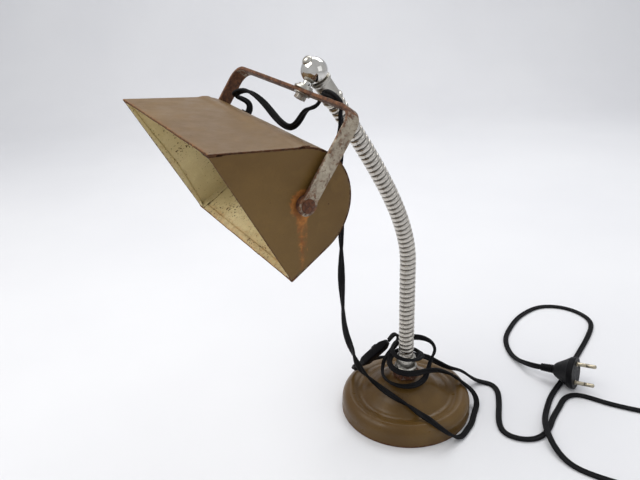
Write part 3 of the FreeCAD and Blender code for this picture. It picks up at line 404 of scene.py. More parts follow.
def arc3(start, via, end, steps=10):
    """Points of the arc from start through via to end."""
    (ax, ay), (bx, by), (cx, cy) = start, via, end
    a2, b2, c2 = ax * ax + ay * ay, bx * bx + by * by, cx * cx + cy * cy
    d = 2 * (ax * (by - cy) + bx * (cy - ay) + cx * (ay - by))
    x = (a2 * (by - cy) + b2 * (cy - ay) + c2 * (ay - by)) / d
    y = (a2 * (cx - bx) + b2 * (ax - cx) + c2 * (bx - ax)) / d
    r = math.hypot(ax - x, ay - y)
    first, mid, last = (math.atan2(q - y, p - x) for p, q in (start, via, end))
    turn = (last - first) % (2 * math.pi)
    if (mid - first) % (2 * math.pi) > turn:
        turn -= 2 * math.pi
    angles = [first + turn * i / steps for i in range(steps + 1)]
    return [(x + r * math.cos(a), y + r * math.sin(a)) for a in angles]


def trace(points, arcs, steps=10):
    """A closed outline. arcs gives, for a side's number, a point its arc passes through."""
    out = []
    for i, p in enumerate(points):
        if i in arcs:
            out += arc3(p, arcs[i], points[(i + 1) % len(points)], steps)[:-1]
        else:
            out.append(p)
    return out


def soften(points, size=0.3, steps=3, close=True):
    """Rounds each corner sharper than 25 degrees by about size."""
    out = []
    for i, p in enumerate(points):
        if not close and i in (0, len(points) - 1):
            out.append(p)
            continue
        before = np.array(points[i - 1], float)
        after = np.array(points[(i + 1) % len(points)], float)
        p = np.array(p, float)
        u, w = before - p, after - p
        lu, lw = np.linalg.norm(u), np.linalg.norm(w)
        c = np.clip(np.dot(u, w) / lu / lw, -1, 1)
        if math.degrees(math.pi - math.acos(c)) < 25.0:
            out.append(tuple(p))
            continue
        k = min(size, lu * 0.45, lw * 0.45)
        s, e = p + u / lu * k, p + w / lw * k
        for j in range(steps + 1):
            t = j / steps
            out.append(tuple((1 - t) ** 2 * s + 2 * t * (1 - t) * p + t * t * e))
    return out


def subdivide(points, parts, close=False):
    """Splits each side into parts(start, length) equal parts."""
    out = []
    for i in range(len(points) if close else len(points) - 1):
        p, q = points[i], points[(i + 1) % len(points)]
        n = parts(p, math.hypot(q[0] - p[0], q[1] - p[1]))
        out += [(p[0] + (q[0] - p[0]) * j / n, p[1] + (q[1] - p[1]) * j / n) for j in range(n)]
    return out if close else out + [points[-1]]


def lathe(name, prof, origin, axis, mat, segs=96, start=None, warp=None, edge=None, rust=None,
          sharp=38.0):
    """Spins a profile about an axis, from the start direction. A profile that begins on the axis
    is open, any other is a closed loop. Points on the axis become single, unwarped vertices."""
    z = unit(axis)
    x = unit(np.cross(z, (0.3, 0.9, 0.2)) if start is None else start)
    x = unit(x - z * z.dot(x))
    y = np.cross(z, x)
    verts, rings, edges, rusts = [], [], [], []
    for r, h in prof:
        count = 1 if r < 1e-6 else segs
        rings.append(range(len(verts), len(verts) + count))
        for i in range(count):
            a = 2 * math.pi * i / segs
            rr, hh = warp(r, h, a) if warp and count > 1 else (r, h)
            verts.append(origin + (x * math.cos(a) + y * math.sin(a)) * rr + z * hh)
            edges.append(edge(r, h) if edge else 0.0)
            rusts.append(rust(r, h, a) if rust else 0.0)
    faces = []
    closing = rings[:1] if prof[0][0] > 1e-6 else []
    for low, high in zip(rings, rings[1:] + closing):
        for i in range(segs):
            j = (i + 1) % segs
            if len(low) == 1:
                faces.append((low[0], high[i], high[j]))
            elif len(high) == 1:
                faces.append((low[i], high[0], low[j]))
            else:
                faces.append((low[i], high[i], high[j], low[j]))
    attrs = {"edge": edges, "rust": rusts, "groove": [0.0] * len(verts)}
    return build(name, verts, faces, mat, attrs=attrs, sharp=sharp)


def smooth01(t):
    t = np.clip(t, 0, 1)
    return t * t * (3 - 2 * t)


def hardware(node, mat, width=0.25, segs=2):
    """Keeps a CAD piece, with a material and softened edges."""
    ob = NODES[node]
    ob.data.materials.clear()
    ob.data.materials.append(mat)
    weld = ob.modifiers.new("weld", "WELD")
    weld.merge_threshold = 0.00002
    bevel = ob.modifiers.new("edge", "BEVEL")
    bevel.width = width * MM
    bevel.segments = segs
    bevel.limit_method = "ANGLE"
    bevel.angle_limit = math.radians(38)
    bevel.harden_normals = False
    even = ob.modifiers.new("even", "WEIGHTED_NORMAL")
    even.keep_sharp = True
    for face in ob.data.polygons:
        face.use_smooth = True


# ------------------------------------------------------------------ foot
FOOT_R, FOOT_SHEET, WALL_H = 65.0, 1.2, 9.0
SHOULDER_R, SHOULDER_H = 57.0, 20.2
VALLEY_R, VALLEY_H = 46.0, 17.4
CROWN_R, CROWN_H = 14.0, 36.6
BORE_R = 5.0

foot_prof = trace([
    # outer face, rim to bore
    (FOOT_R, 0), (FOOT_R - 0.7, WALL_H), (SHOULDER_R, SHOULDER_H),
    (SHOULDER_R - 6.8, SHOULDER_H - 1.7), (VALLEY_R - 4, VALLEY_H + 1.8),
    (VALLEY_R - 12, VALLEY_H + 7), (CROWN_R, CROWN_H), (BORE_R + 0.4, CROWN_H + 0.6),
    # inner face, bore to rim
    (BORE_R + 0.4, CROWN_H + 0.6 - FOOT_SHEET), (CROWN_R - 0.6, CROWN_H - FOOT_SHEET),
    (VALLEY_R - 12.7, VALLEY_H + 7 - FOOT_SHEET), (VALLEY_R - 4.4, VALLEY_H + 1.8 - FOOT_SHEET),
    (SHOULDER_R - 6.8, SHOULDER_H - 1.7 - FOOT_SHEET), (SHOULDER_R, SHOULDER_H - FOOT_SHEET),
    (FOOT_R - 0.7 - FOOT_SHEET, WALL_H), (FOOT_R - FOOT_SHEET, 0)],
    {1: (FOOT_R - 2.9, WALL_H + 7.4), 2: (SHOULDER_R - 3.4, SHOULDER_H - 0.45),
     3: (VALLEY_R, VALLEY_H), 5: (VALLEY_R - 21.6, VALLEY_H + 14.4),
     9: (VALLEY_R - 22.1, VALLEY_H + 13.2), 11: (VALLEY_R - 0.3, VALLEY_H - FOOT_SHEET - 0.05),
     12: (SHOULDER_R - 3.5, SHOULDER_H - 0.45 - FOOT_SHEET), 13: (FOOT_R - 4, WALL_H + 6.5)}, 14)
foot_prof = subdivide(soften(foot_prof, 0.5), lambda p, length: int(length / 2.5) + 1, close=True)


def foot_wear(r, h):
    """Worn rim, bore and shoulder."""
    rim = math.exp(-max(h, 0) / 2.6) if r > 60 else 0.0
    bore = 0.85 * math.exp(-abs(r - 11.5) / 2.4) if r < 20 else 0.0
    return max(rim, bore, 0.34 * math.exp(-((r - 58.0) / 2.2) ** 2))


def foot_rust(r, h, a):
    valley = 0.10 * math.exp(-((r - 47) / 4.0) ** 2) * (0.5 + 0.5 * math.sin(3 * a + 0.7))
    rim = 0.42 * math.exp(-max(h, 0) / 3.5) * (0.55 + 0.45 * math.sin(2 * a + 1.9))
    return max(valley, rim if r > 61 else 0.0, 0.25 * math.exp(-abs(r - 13) / 4))


def foot_warp(r, h, a):
    """Slight unevenness of the outer part. The rim stays on the floor."""
    sag = 0.22 * math.sin(2 * a + 0.4) + 0.13 * math.sin(5 * a + 1.7) + 0.09 * math.sin(9 * a)
    k = smooth01((r - 40) / 20.0)
    return r - 0.10 * k * (1 + math.sin(3 * a)), max(h - abs(sag) * 0.5 * k * (h > 4), 0.0)


foot = lathe("foot_shell", foot_prof, np.zeros(3), UP, BROWN_FOOT, 224, start=(1, 0, 0),
             warp=foot_warp, edge=foot_wear, rust=foot_rust, sharp=60)
register(foot, "base", "base_shell")

# ferrule round the lower end of the hose
FERRULE_R, FERRULE_LOW, FERRULE_TOP = 11.0, 43.2, 60.0
SOCKET_R = 6.6 + 0.1
ferrule = lathe("foot_ferrule", soften([
    (BORE_R + 0.1, FERRULE_LOW), (FERRULE_R, FERRULE_LOW), (FERRULE_R, FERRULE_LOW + 5),
    (FERRULE_R - 1.4, FERRULE_LOW + 6.4), (FERRULE_R - 1.4, FERRULE_TOP - 2),
    (FERRULE_R - 2.4, FERRULE_TOP), (SOCKET_R, FERRULE_TOP), (SOCKET_R, FERRULE_LOW + 3),
    (BORE_R + 0.1, FERRULE_LOW + 3)], 0.5), np.zeros(3), UP, NICKEL_OLD)
register(ferrule, "base", "foot_collar")

for node, mat, width in (
        ("foot_nut", rusty_steel("steel_foot", amount=1.0), 0.4), ("clamp_washer", STEEL, 0.2),
        ("clamp_nut", STEEL, 0.2), ("base_nipple", BRASS, 0.2), ("base_weight", CAST, 0.4),
        ("base_felt", FELT, 0.2)):
    hardware(node, mat, width)

# ------------------------------------------------------------------ neck
# A hose with one continuous spiral ridge, straight at first and then leaning more and more.
BEND_START, FULL_LEAN, BEND_DECAY = 162.186, math.radians(34.783), 53.13
PITCH, ROWS_PER_TURN, HOSE_SEGS = 4.905, 16, 72
GROOVE_R, RIDGE_H = 6.55, 1.0
HOSE_LOW, HOSE_PAST_HINGE = 46.5, 2.6
# joints of the moving neck: (out, up)
HINGES = [(0.0, 75.0), (0.0, 104.429), (0.0, 133.858), (0.007, 163.286), (4.408, 192.305),
          (14.344, 219.979), (27.307, 246.389), (41.939, 271.920), (57.503, 296.895),
          (73.592, 321.536)]

NECK_S = np.linspace(0, 375, 7501)                 # lengths along the hose
NECK_LEAN = np.where(NECK_S > BEND_START,
                     FULL_LEAN * (1 - np.exp(-(NECK_S - BEND_START) / BEND_DECAY)), 0.0)


def running_sum(slope):
    steps = (slope[1:] + slope[:-1]) / 2 * (NECK_S[1] - NECK_S[0])
    return np.concatenate([[0], np.cumsum(steps)])


NECK_OUT, NECK_UP = running_sum(np.sin(NECK_LEAN)), running_sum(np.cos(NECK_LEAN))


def neck_at(s):
    """Centre of the hose at length s, and its crosswise direction on the OUT side."""
    out, up, lean = (np.interp(s, NECK_S, row) for row in (NECK_OUT, NECK_UP, NECK_LEAN))
    return OUT * out + UP * up, OUT * math.cos(lean) - UP * math.sin(lean)


def ridge(turn):
    """Ridge height and groove depth, each 0 to 1, at a fraction of a turn."""
    x = (turn - 0.5) * 2 * 1.18
    if abs(x) >= 1:
        return 0.0, 1.0
    lift = math.sqrt(1 - x * x) ** 0.85
    return lift, max(0.0, 1 - lift * 1.9)


HINGE_S = [NECK_S[np.argmin((NECK_OUT - out) ** 2 + (NECK_UP - up) ** 2)] for out, up in HINGES]
CUTS = ([HOSE_LOW] + [(a + b) / 2 for a, b in zip(HINGE_S, HINGE_S[1:])]
        + [HINGE_S[9] + HOSE_PAST_HINGE])
NECK_NODES = ["neck_foot"] + ["neck_link_%d" % k for k in range(1, 10)]

for k, hinge in enumerate(HINGE_S):
    low, high = CUTS[k], CUTS[k + 1]
    rows = int((high - low) / PITCH * ROWS_PER_TURN) + 1
    verts, groove = [], []
    for i in range(rows + 1):
        s = low + (high - low) * i / rows
        centre, across = neck_at(s)
        for j in range(HOSE_SEGS):
            a = 2 * math.pi * j / HOSE_SEGS
            lift, deep = ridge((s / PITCH - j / HOSE_SEGS) % 1.0)
            r = GROOVE_R + RIDGE_H * lift
            verts.append(centre + (across * math.cos(a) + SIDE * math.sin(a)) * r)
            groove.append(deep)
    faces = closed_tube(verts, rows + 1, HOSE_SEGS, (neck_at(low)[0], neck_at(high)[0]))
    hose = build("neck_hose_%d" % (k + 1), verts, faces, NICKEL,
                 attrs={"groove": groove + [1.0, 1.0]}, sharp=75)
    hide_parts(NECK_NODES[k])
    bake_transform(hose)

# ------------------------------------------------------------------ swivel
BALL_R, BALL_FLAT = 10.1, 9.25                     # the flat is this far from the centre
SEAT_R = BALL_R + PLAY
CUP_R, CUP_RIM, CUP_BORE = 8.3, 8.0, 2.7           # the rim is this far below the centre
CUP_END = -CUP_RIM - 21.7
POST_R, POST_SHOULDER = 2.45, 12.2
STRAP_T = 2.5


def seat_depth(r):
    return -math.sqrt(SEAT_R ** 2 - r ** 2)


cup_prof = trace([
    (CUP_BORE, seat_depth(CUP_BORE)), (-seat_depth(CUP_RIM), -CUP_RIM), (CUP_R, -CUP_RIM),
    (CUP_R, -CUP_RIM - 2.2), (CUP_R - 0.9, -CUP_RIM - 3.4), (CUP_R - 0.9, CUP_END + 5.2),
    (CUP_R - 0.3, CUP_END + 4.4), (CUP_R - 0.3, CUP_END + 0.8), (CUP_R - 1.1, CUP_END),
    (CUP_BORE, CUP_END)], {0: (5.0, seat_depth(5.0)), 6: (CUP_R + 0.3, CUP_END + 2.6)})
cup = lathe("neck_head", soften(cup_prof, 0.35), BALL, CUP_AXIS, NICKEL_OLD)
register(cup, "neck_top", "neck_cup")

ball_prof = [(BALL_R * math.cos(a), BALL_R * math.sin(a))
             for a in np.linspace(-math.pi / 2, math.asin(BALL_FLAT / BALL_R), 60)]
flat_r = math.sqrt(BALL_R ** 2 - BALL_FLAT ** 2)
ball_prof += [(flat_r - 0.15, BALL_FLAT + 0.02), (0, BALL_FLAT)]
sphere = lathe("ball_chrome", ball_prof, BALL, CUP_AXIS, CHROME, 128, sharp=50)
register(sphere, "ball", "swivel_ball")

thread = []
for i in range(16):
    z = 17.0 + i * 0.43
    thread += [(POST_R, z), (2.22, z + 0.21)]
post_prof = soften([(0, 8.0), (3.5, 8.0), (3.5, POST_SHOULDER), (POST_R, POST_SHOULDER + 0.2)],
                   0.15, 2, close=False)
post_prof += thread + [(POST_R, 23.6), (2.05, 24.0), (0, 24.0)]
post = lathe("ball_post", post_prof, BALL, -ARM, CHROME, 64)
register(post, "ball", "swivel_ball")


def screw_profile(tail, face, radius, rim, crown, height, rounding):
    """A shank from tail up to a domed head that sits on face. rim, height and crown, a
    (radius, height) the dome passes through, are measured from face."""
    top = face + height
    dome = arc3((radius, face + rim), (crown[0], face + crown[1]), (0, top))
    outline = [(0, tail), (2.5, tail), (2.5, face + 0.05), (radius, face + 0.05),
               (radius, face + rim)] + dome[1:]
    return subdivide(soften(outline, rounding, 2, close=False),
                     lambda p, length: max(1, int(length / (0.22 if p[1] > top - 3.0 else 3.0))))


SLOT_W, SLOT_FLOOR, SLOT_TURN = 0.9, BALL_FLAT + 3.05 - 1.3, 0.6


def saw_cut(r, h, a):
    """Presses the head down to the slot's floor along one line."""
    off_line = abs(r * math.sin(SLOT_TURN - a))
    k = 1 - smooth01((off_line - SLOT_W * 0.5) / 0.14)
    return r, h - max(h - SLOT_FLOOR, 0.0) * k


screw_prof = screw_profile(tail=-12.0, face=BALL_FLAT, radius=4.0, rim=0.75, crown=(2.9, 2.35),
                           height=3.05, rounding=0.2)
screw = lathe("swivel_screw", screw_prof, BALL, CUP_AXIS, NICKEL_OLD, warp=saw_cut, sharp=50)
register(screw, "neck_top", "ball_screw")

FLANGE_R, FLANGE_TOP = 8.0, BALL_TO_BAR - STRAP_T / 2
flange = lathe("swivel_flange", soften([
    (POST_R + PLAY, POST_SHOULDER + 0.1), (FLANGE_R - 2.3, POST_SHOULDER + 0.1),
    (FLANGE_R - 2.3, POST_SHOULDER + 1.6), (FLANGE_R - 1.2, POST_SHOULDER + 1.6),
    (FLANGE_R - 1.2, POST_SHOULDER + 2.3), (FLANGE_R, POST_SHOULDER + 2.3),
    (FLANGE_R, FLANGE_TOP), (POST_R + PLAY, FLANGE_TOP)]), BALL, -ARM, NICKEL_OLD)
register(flange, "bracket", "bracket_collar")
for node in ("stud_washer", "stud_nut"):
    hardware(node, STEEL)

# ------------------------------------------------------------------ bracket
# One flat strap, bent twice, with a round eye at the end of each leg.
EYE_R, HALF_W = 7.5, 5.75
EYE_TOP = math.sqrt(EYE_R ** 2 - HALF_W ** 2)      # where the eye meets the straight sides
SPACER = 3.0                                       # gap between shade and leg
LEG_X = HALF_SHADE + SPACER + STRAP_T / 2          # middle of a leg's thickness
BEND_R = 13.0 - STRAP_T / 2
CORNER_R = 0.42

leg = [(-LEG_X, z) for z in (*np.linspace(-EYE_R, -EYE_R + 2.2, 12),
                             *np.linspace(-EYE_R + 2.6, ARM_REACH - BEND_R, 60))]
leg += [(-LEG_X + BEND_R * (1 - math.cos(a)), ARM_REACH - BEND_R + BEND_R * math.sin(a))
        for a in (math.pi / 2 * i / 24 for i in range(1, 25))]
bar = [(x, ARM_REACH) for x in np.linspace(-LEG_X + BEND_R, LEG_X - BEND_R, 100)[1:-1]]
strap_path = np.array(leg + bar + [(-x, z) for x, z in reversed(leg)])
tangents = np.gradient(strap_path, axis=0)
tangents /= np.linalg.norm(tangents, axis=1)[:, None]

# rounded corners of the section: (side in thickness, side in width, offset, offset)
corners = []
for quarter, (side_t, side_w) in enumerate(((1, 1), (-1, 1), (-1, -1), (1, -1))):
    for i in range(4):
        a = math.radians(90 * quarter + i * 30)
        corners.append((side_t, side_w, CORNER_R * math.cos(a), CORNER_R * math.sin(a)))

verts, edge, rust = [], [], []
for (x, z), (tx, tz) in zip(strap_path, tangents):
    width = HALF_W
    if z < EYE_TOP:
        width = max(math.sqrt(max(EYE_R ** 2 - z * z, 0.0)), 0.45)
    bow = 0.105 * math.sin(x / 31.0) if abs(x) < LEG_X - BEND_R else 0.0
    for side_t, side_w, corner_t, corner_w in corners:
        off_t = side_t * (STRAP_T / 2 - CORNER_R) + corner_t
        off_w = side_w * max(width - CORNER_R, 0.02) + corner_w
        verts.append(on_bracket(x - tz * off_t, off_w, z + tx * off_t + bow))
        inset = width - abs(off_w)
        edge.append(math.exp(-inset / 1.3))
        far_inner = x > 40 and z < ARM_REACH - 4 and off_t < 0
        rust.append(min(1.0, 0.62 * far_inner + 0.30 * math.exp(-abs(z) / 5.0)
                        + (0.34 if z > ARM_REACH - 3 else 0.10) * math.exp(-inset)
                        + 0.10 * (z > ARM_REACH - 6)))
ring = len(corners)
end_centres = (np.mean(verts[:ring], axis=0), np.mean(verts[-ring:], axis=0))
faces = closed_tube(verts, len(strap_path), ring, end_centres)
strap = build("bracket_bent_strap", verts, faces, WORN,
              attrs={"edge": edge + [1.0, 1.0], "rust": rust + [0.5, 0.5]}, sharp=50)
register(strap, "bracket", "bracket_strap")

for side, sign in (("near", 1), ("far", -1)):
    prof = screw_profile(tail=HALF_SHADE - 5.8, face=HALF_SHADE + SPACER + STRAP_T, radius=5.2,
                         rim=0.9, crown=(2.75, 2.18), height=2.65, rounding=0.25)
    pivot = lathe("pivot_%s_screw" % side, prof, PIVOT, -LONG * sign, RUSTED, sharp=50)
    register(pivot, "shade", "pivot_screw_" + side)
    hardware("pivot_spacer_" + side, RUSTED)
    hardware("pivot_nut_" + side, STEEL, 0.3)

# ------------------------------------------------------------------ shade
# Its section, in (down, deep) from the pivots: a round barrel and two flat sides touching it.
GAUGE, HEM = 0.8, 5.5
LIP_TOP, LIP_LOW = np.array((-72.0, -36.5)), np.array((46.5, -36.5))
BARREL, BARREL_R = np.array((1.256, -4.398)), 42.6
LAP = GAUGE + 0.05                                 # step where the lid laps over the barrel


def on_barrel(angle, radius):
    return BARREL + np.array((math.cos(angle), math.sin(angle))) * radius


def tangent_side(lip, side):
    """The flat side from a lip: touching angle, direction, length and inward normal."""
    dx, dy = BARREL - lip
    far = math.hypot(dx, dy)
    head = math.atan2(dy, dx) + side * math.asin(BARREL_R / far)
    run = math.sqrt(far * far - BARREL_R * BARREL_R)
    touch = lip + run * np.array((math.cos(head), math.sin(head))) - BARREL
    angle = math.atan2(touch[1], touch[0])
    span = on_barrel(angle, BARREL_R) - lip
    length = np.linalg.norm(span)
    return angle, span / length, length, -np.array((math.cos(angle), math.sin(angle)))


TOP_ANGLE, TOP_DIR, TOP_LEN, TOP_IN = tangent_side(LIP_TOP, 1)
LOW_ANGLE, LOW_DIR, LOW_LEN, LOW_IN = tangent_side(LIP_LOW, -1)


def top_point(s, depth):
    """Section point at length s from the top lip, depth below the outer face."""
    if s <= TOP_LEN:
        lift = LAP * smooth01((s - (TOP_LEN - 6)) / 5.0)
        return LIP_TOP + TOP_DIR * s + TOP_IN * (depth - lift)
    return on_barrel(TOP_ANGLE - (s - TOP_LEN) / BARREL_R, BARREL_R + LAP - depth)


def low_point(s, depth):
    """The same from the lower lip, on round the barrel."""
    if s <= LOW_LEN:
        return LIP_LOW + LOW_DIR * s + LOW_IN * depth
    return on_barrel(LOW_ANGLE + (s - LOW_LEN) / BARREL_R, BARREL_R - depth)


DENTS = [(22, -38, -0.5, 9), (60, 45, 0.35, 12),   # (s, z, height, spread)
         (95, -10, -0.4, 10), (34, 18, -0.30, 7)]


def dent(s, z, seed):
    v = (0.16 * math.sin(s / 17.0 + seed) * math.sin(z / 29.0 + 1.3 * seed)
         + 0.10 * math.sin(z / 13.0 + s / 23.0 + seed))
    for at_s, at_z, height, spread in DENTS:
        gap = (s - at_s - 3 * seed) ** 2 + (z - at_z) ** 2
        v += height * math.exp(-gap / (2 * spread ** 2))
    return v * 0.8


def sheet(name, point, end, node, seed, inner_rust=0.0):
    """A folded sheet, hemmed at the lip (s = 0) and cut square at its other edge."""
    # (s, depth, cream side)
    prof = [(s, 0.0, False) for s in (0.85, *np.linspace(2.0, end - 0.6, 44), end - 0.15)]
    prof += [(end, 0.2, False), (end, GAUGE - 0.2, True)]
    prof += [(s, GAUGE, True)
             for s in (end - 0.15, *np.linspace(end - 0.6, HEM + 1.2, 42), HEM + 0.7)]
    prof += [(HEM + 0.25, GAUGE + 0.1, True), (HEM + 0.05, 1.5 * GAUGE, True),
             (HEM - 0.25, 2 * GAUGE - 0.05, True), (HEM - 0.8, 2 * GAUGE, True),
             (3.0, 2 * GAUGE + 0.05, True), (0.85, 2 * GAUGE, True)]
    prof += [(0.85 - GAUGE * math.sin(a), GAUGE + GAUGE * math.cos(a), False)
             for a in np.linspace(0.35, math.pi - 0.35, 6)]
    stations = [79.95, 79.6, *np.linspace(78.0, -78.0, 70), -79.6, -79.95]
    verts, edge, rust = [], [], []
    for z in stations:
        shrink = 0.12 if abs(z) > 79.9 else 0.0
        hem_wave = 0.22 * math.sin(z / 9.0 + seed) + 0.14 * math.sin(z / 4.1 + 2 * seed)
        for s, d, _ in prof:
            depth = d + (shrink if d < GAUGE / 2 else -shrink if d < 1.01 * GAUGE else 0)
            sway = hem_wave * math.exp(-s / 4.0) * (0.55 if d > GAUGE * 1.2 else 0.15)
            p = point(s + sway, depth)
            fade = (smooth01((80 - abs(z)) / 10) * smooth01(s / 9.0)
                    * smooth01((end - s) / 9.0))
            p = p + unit(p - point(s, depth + 1.0)) * dent(s, z, seed) * fade
            verts.append(in_shade(p[0], p[1], -z))
            near = min(80 - abs(z), s, end - s)
            bare = d < GAUGE / 2 or near < 0.7
            edge.append(math.exp(-near / 0.9) if bare else 0.45 * math.exp(-near / 1.2))
            rusty = 0.5 * math.exp(-s / 2.5)
            if d > GAUGE / 2:
                rusty += 0.45 * math.exp(-abs(s - HEM - 0.3) / 1.2)
                rusty += inner_rust * smooth01((55 - s) / 40.0)
            rust.append(min(rusty, 1.0) * 0.8)
    ring, rows = len(prof), len(stations)
    faces = tube(rows, ring)
    faces += [tuple(range(first, first + ring)) for first in (0, (rows - 1) * ring)]
    around = [int(prof[j][2] or prof[(j + 1) % ring][2]) for j in range(ring)]
    ob = build(name, verts, faces, BROWN, CREAM, index=around * (rows - 1) + [0, 0],
               attrs={"edge": edge, "rust": rust}, sharp=60)
    register(ob, "shade", node)


sheet("shade_lid", top_point, TOP_LEN + 4.1, "shade_top_sheet", seed=0.6)
sheet("shade_wrap", low_point, LOW_LEN + (TOP_ANGLE - LOW_ANGLE) * BARREL_R - 0.05,
      "shade_back_sheet", seed=2.1, inner_rust=0.30)

CHEEK_INSET = 0.85


def cheek_inset(s):
    """The end plates stand further in along the hems."""
    return CHEEK_INSET + 0.9 * (1 - smooth01((s - 8) / 4))


# outline of the end plates: (point, on the opening's side)
outline = [(LIP_TOP + TOP_DIR * s + TOP_IN * cheek_inset(s), False)
           for s in np.linspace(0.3, TOP_LEN, 40)]
outline += [(on_barrel(a, BARREL_R - CHEEK_INSET), False)
            for a in np.linspace(TOP_ANGLE, LOW_ANGLE, 80)[1:-1]]
outline += [(LIP_LOW + LOW_DIR * s + LOW_IN * cheek_inset(s), False)
            for s in np.linspace(LOW_LEN, 0.3, 26)]
low_end, top_end = outline[-1][0], outline[0][0]
outline += [(low_end + (top_end - low_end) * t + np.array((0, 0.25)), True)
            for t in np.linspace(0, 1, 60)[1:-1]]

PLATE_OUT, PLATE_IN = HALF_SHADE, HALF_SHADE - GAUGE
# rings of the flat faces, as fractions of the outline
RINGS = [0.055, 0.075, 0.10, 0.14, 0.2, 0.28, 0.38, 0.48, 0.58, 0.68, 0.77, 0.85, 0.91, 0.95]
# rim of the plate, (inset, z): a flange turned in on three sides, a folded hem at the opening
FLANGE_RIM = [(1.2, 80), (0.5, 79.9), (0.12, 79.6), (0, 79), (0, 76), (0, 72.2), (0.1, 72),
              (0.7, 72), (0.8, 72.2), (0.8, 76), (0.85, 78.6), (1.3, 79.15), (2.2, 79.2)]
HEM_RIM = [(1.4, 80), (0.6, 79.9), (0.18, 79.6), (0, 79.15), (0.12, 78.75), (0.6, 78.45),
           (1.6, 78.35), (2.8, 78.35), (4.2, 78.38), (5, 78.42), (5.4, 78.62), (5.6, 79.05),
           (6.4, 79.2)]
# rust runs below the pivot: (sideways place, width, length, strength)
RUNS = [(-5.4, 1.0, 40, 0.38), (-1.8, 3.6, 60, 0.55), (1.8, 1.2, 34, 0.30),
        (-2.6, 1.1, 55, 0.25)]
FALL = unit((-DOWN[2], -DEEP[2]))                  # world down, in the plate


def plate_dent(x, y):
    return (0.30 * math.exp(-((x - 18) ** 2 + (y - 20) ** 2) / 160)
            - 0.35 * math.exp(-((x + 30) ** 2 + (y + 14) ** 2) / 260)
            + 0.10 * math.sin(x / 9.0 + 1) * math.sin(y / 11.0))


def rust_runs(q):
    along, across = q @ FALL, q @ np.array((-FALL[1], FALL[0]))
    if along <= 3:
        return 0.0
    return sum(strength * math.exp(-((across - place) / width) ** 2)
               * math.exp(-max(along - 7, 0) / length * 1.3)
               for place, width, length, strength in RUNS)


def end_plate(name, node, sign):
    """Flat outer face, then the rim, then the inside face."""
    rows = [("face", f) for f in RINGS] + [("rim", k) for k in range(len(FLANGE_RIM))]
    rows += [("inside", f) for f in reversed(RINGS)]
    verts, edge, rust = [], [], []
    for kind, value in rows:
        for p, at_hem in outline:
            if kind == "rim":
                inset, z = (HEM_RIM if at_hem else FLANGE_RIM)[value]
                q = p * (1 - inset / np.linalg.norm(p))
            else:
                q = p * value
                z = PLATE_OUT if kind == "face" else PLATE_IN
            inset = np.linalg.norm(p - q)
            if inset > 1.0:
                z -= abs(plate_dent(*q) * smooth01(inset / 9.0)) * 0.8
            verts.append(in_shade(q[0], q[1], -z * sign))
            r = np.linalg.norm(q)
            stain = (0.95 * math.exp(-((r - 8.2) / 2.1) ** 2)
                     + 0.9 * math.exp(-((r - 5.5) / 1.6) ** 2))
            if kind == "inside":
                edge.append(0.3 * math.exp(-inset / 1.5))
                rusty = 0.25 * stain + 0.45 * math.exp(-abs(inset - 6) / 1.5) * at_hem
            else:
                edge.append(math.exp(-inset / 0.9))
                rusty = stain + rust_runs(q)
            if at_hem and kind == "rim" and value > 3:
                rusty += 0.25
            rust.append(min(1.0, rusty))
    count = len(outline)
    centres = [in_shade(0, 0, -z * sign) for z in (PLATE_OUT, PLATE_IN)]
    faces = closed_tube(verts, len(rows), count, centres)
    brown_rows = len(RINGS) + 4
    index = [0] * (brown_rows * count) + [1] * ((len(rows) - 1 - brown_rows) * count)
    index += [0] * count + [1] * count
    ob = build(name, verts, faces, BROWN, CREAM, index=index,
               attrs={"edge": edge + [0.0, 0.0], "rust": rust + [0.6, 0.6]}, sharp=42)
    register(ob, "shade", node)


end_plate("shade_cheek_near", "shade_end_near", 1)
end_plate("shade_cheek_far", "shade_end_far", -1)

# ------------------------------------------------------------------ lamp holder and bulb
# Heights run along -LONG, from the far end plate towards the near one.
hardware("lamp_holder", BAKELITE, 0.5, 3)
hardware("holder_foot", STEEL)
HOLDER = in_shade(2.0, 9.0, 0.0)
CAP_LOW = -HALF_SHADE + GAUGE + 0.02 + 6.0 + 3.3
CAP_TOP = CAP_LOW + 24.0
BULB_LEN, BULB_R, BULB_NECK_R, SWELL_R = 70.0, 22.5, 11.8, 14.0

cap_prof = [(0, CAP_LOW), (3.2, CAP_LOW), (3.6, CAP_LOW + 0.4), (6.0, CAP_LOW + 1.4),
            (9.0, CAP_LOW + 3.2), (12.6, CAP_LOW + 6.0)]
for i in range(14):
    z = CAP_LOW + 7.0 + i * 1.15
    cap_prof += [(12.9, z), (12.45, z + 0.58)]
cap_prof += [(12.9, CAP_TOP - 0.4), (12.4, CAP_TOP), (0, CAP_TOP)]
bulb_cap = lathe("bulb_base", cap_prof, HOLDER, -LONG, BRASS)
register(bulb_cap, "bulb", "bulb_cap")

bulb_z = CAP_LOW + BULB_LEN - BULB_R
neck_low = CAP_TOP + 0.4
neck_top = bulb_z - math.sqrt(BULB_R ** 2 - SWELL_R ** 2)
bulb_prof = [(0, CAP_TOP + 0.03), (11.6, CAP_TOP + 0.03), (BULB_NECK_R, neck_low)]
bulb_prof += [(BULB_NECK_R + (SWELL_R - BULB_NECK_R) * smooth01(t),
               neck_low + (neck_top - neck_low) * t) for t in np.linspace(0.15, 0.9, 6)]
bulb_prof += [(BULB_R * math.cos(a), bulb_z + BULB_R * math.sin(a))
              for a in np.linspace(math.atan2(neck_top - bulb_z, SWELL_R), math.pi / 2, 40)]
bulb = lathe("bulb_envelope", bulb_prof, HOLDER, -LONG, GLASS, sharp=60)
register(bulb, "bulb", "bulb_glass")
hardware("flex_grommet", FLEX, 0.3)

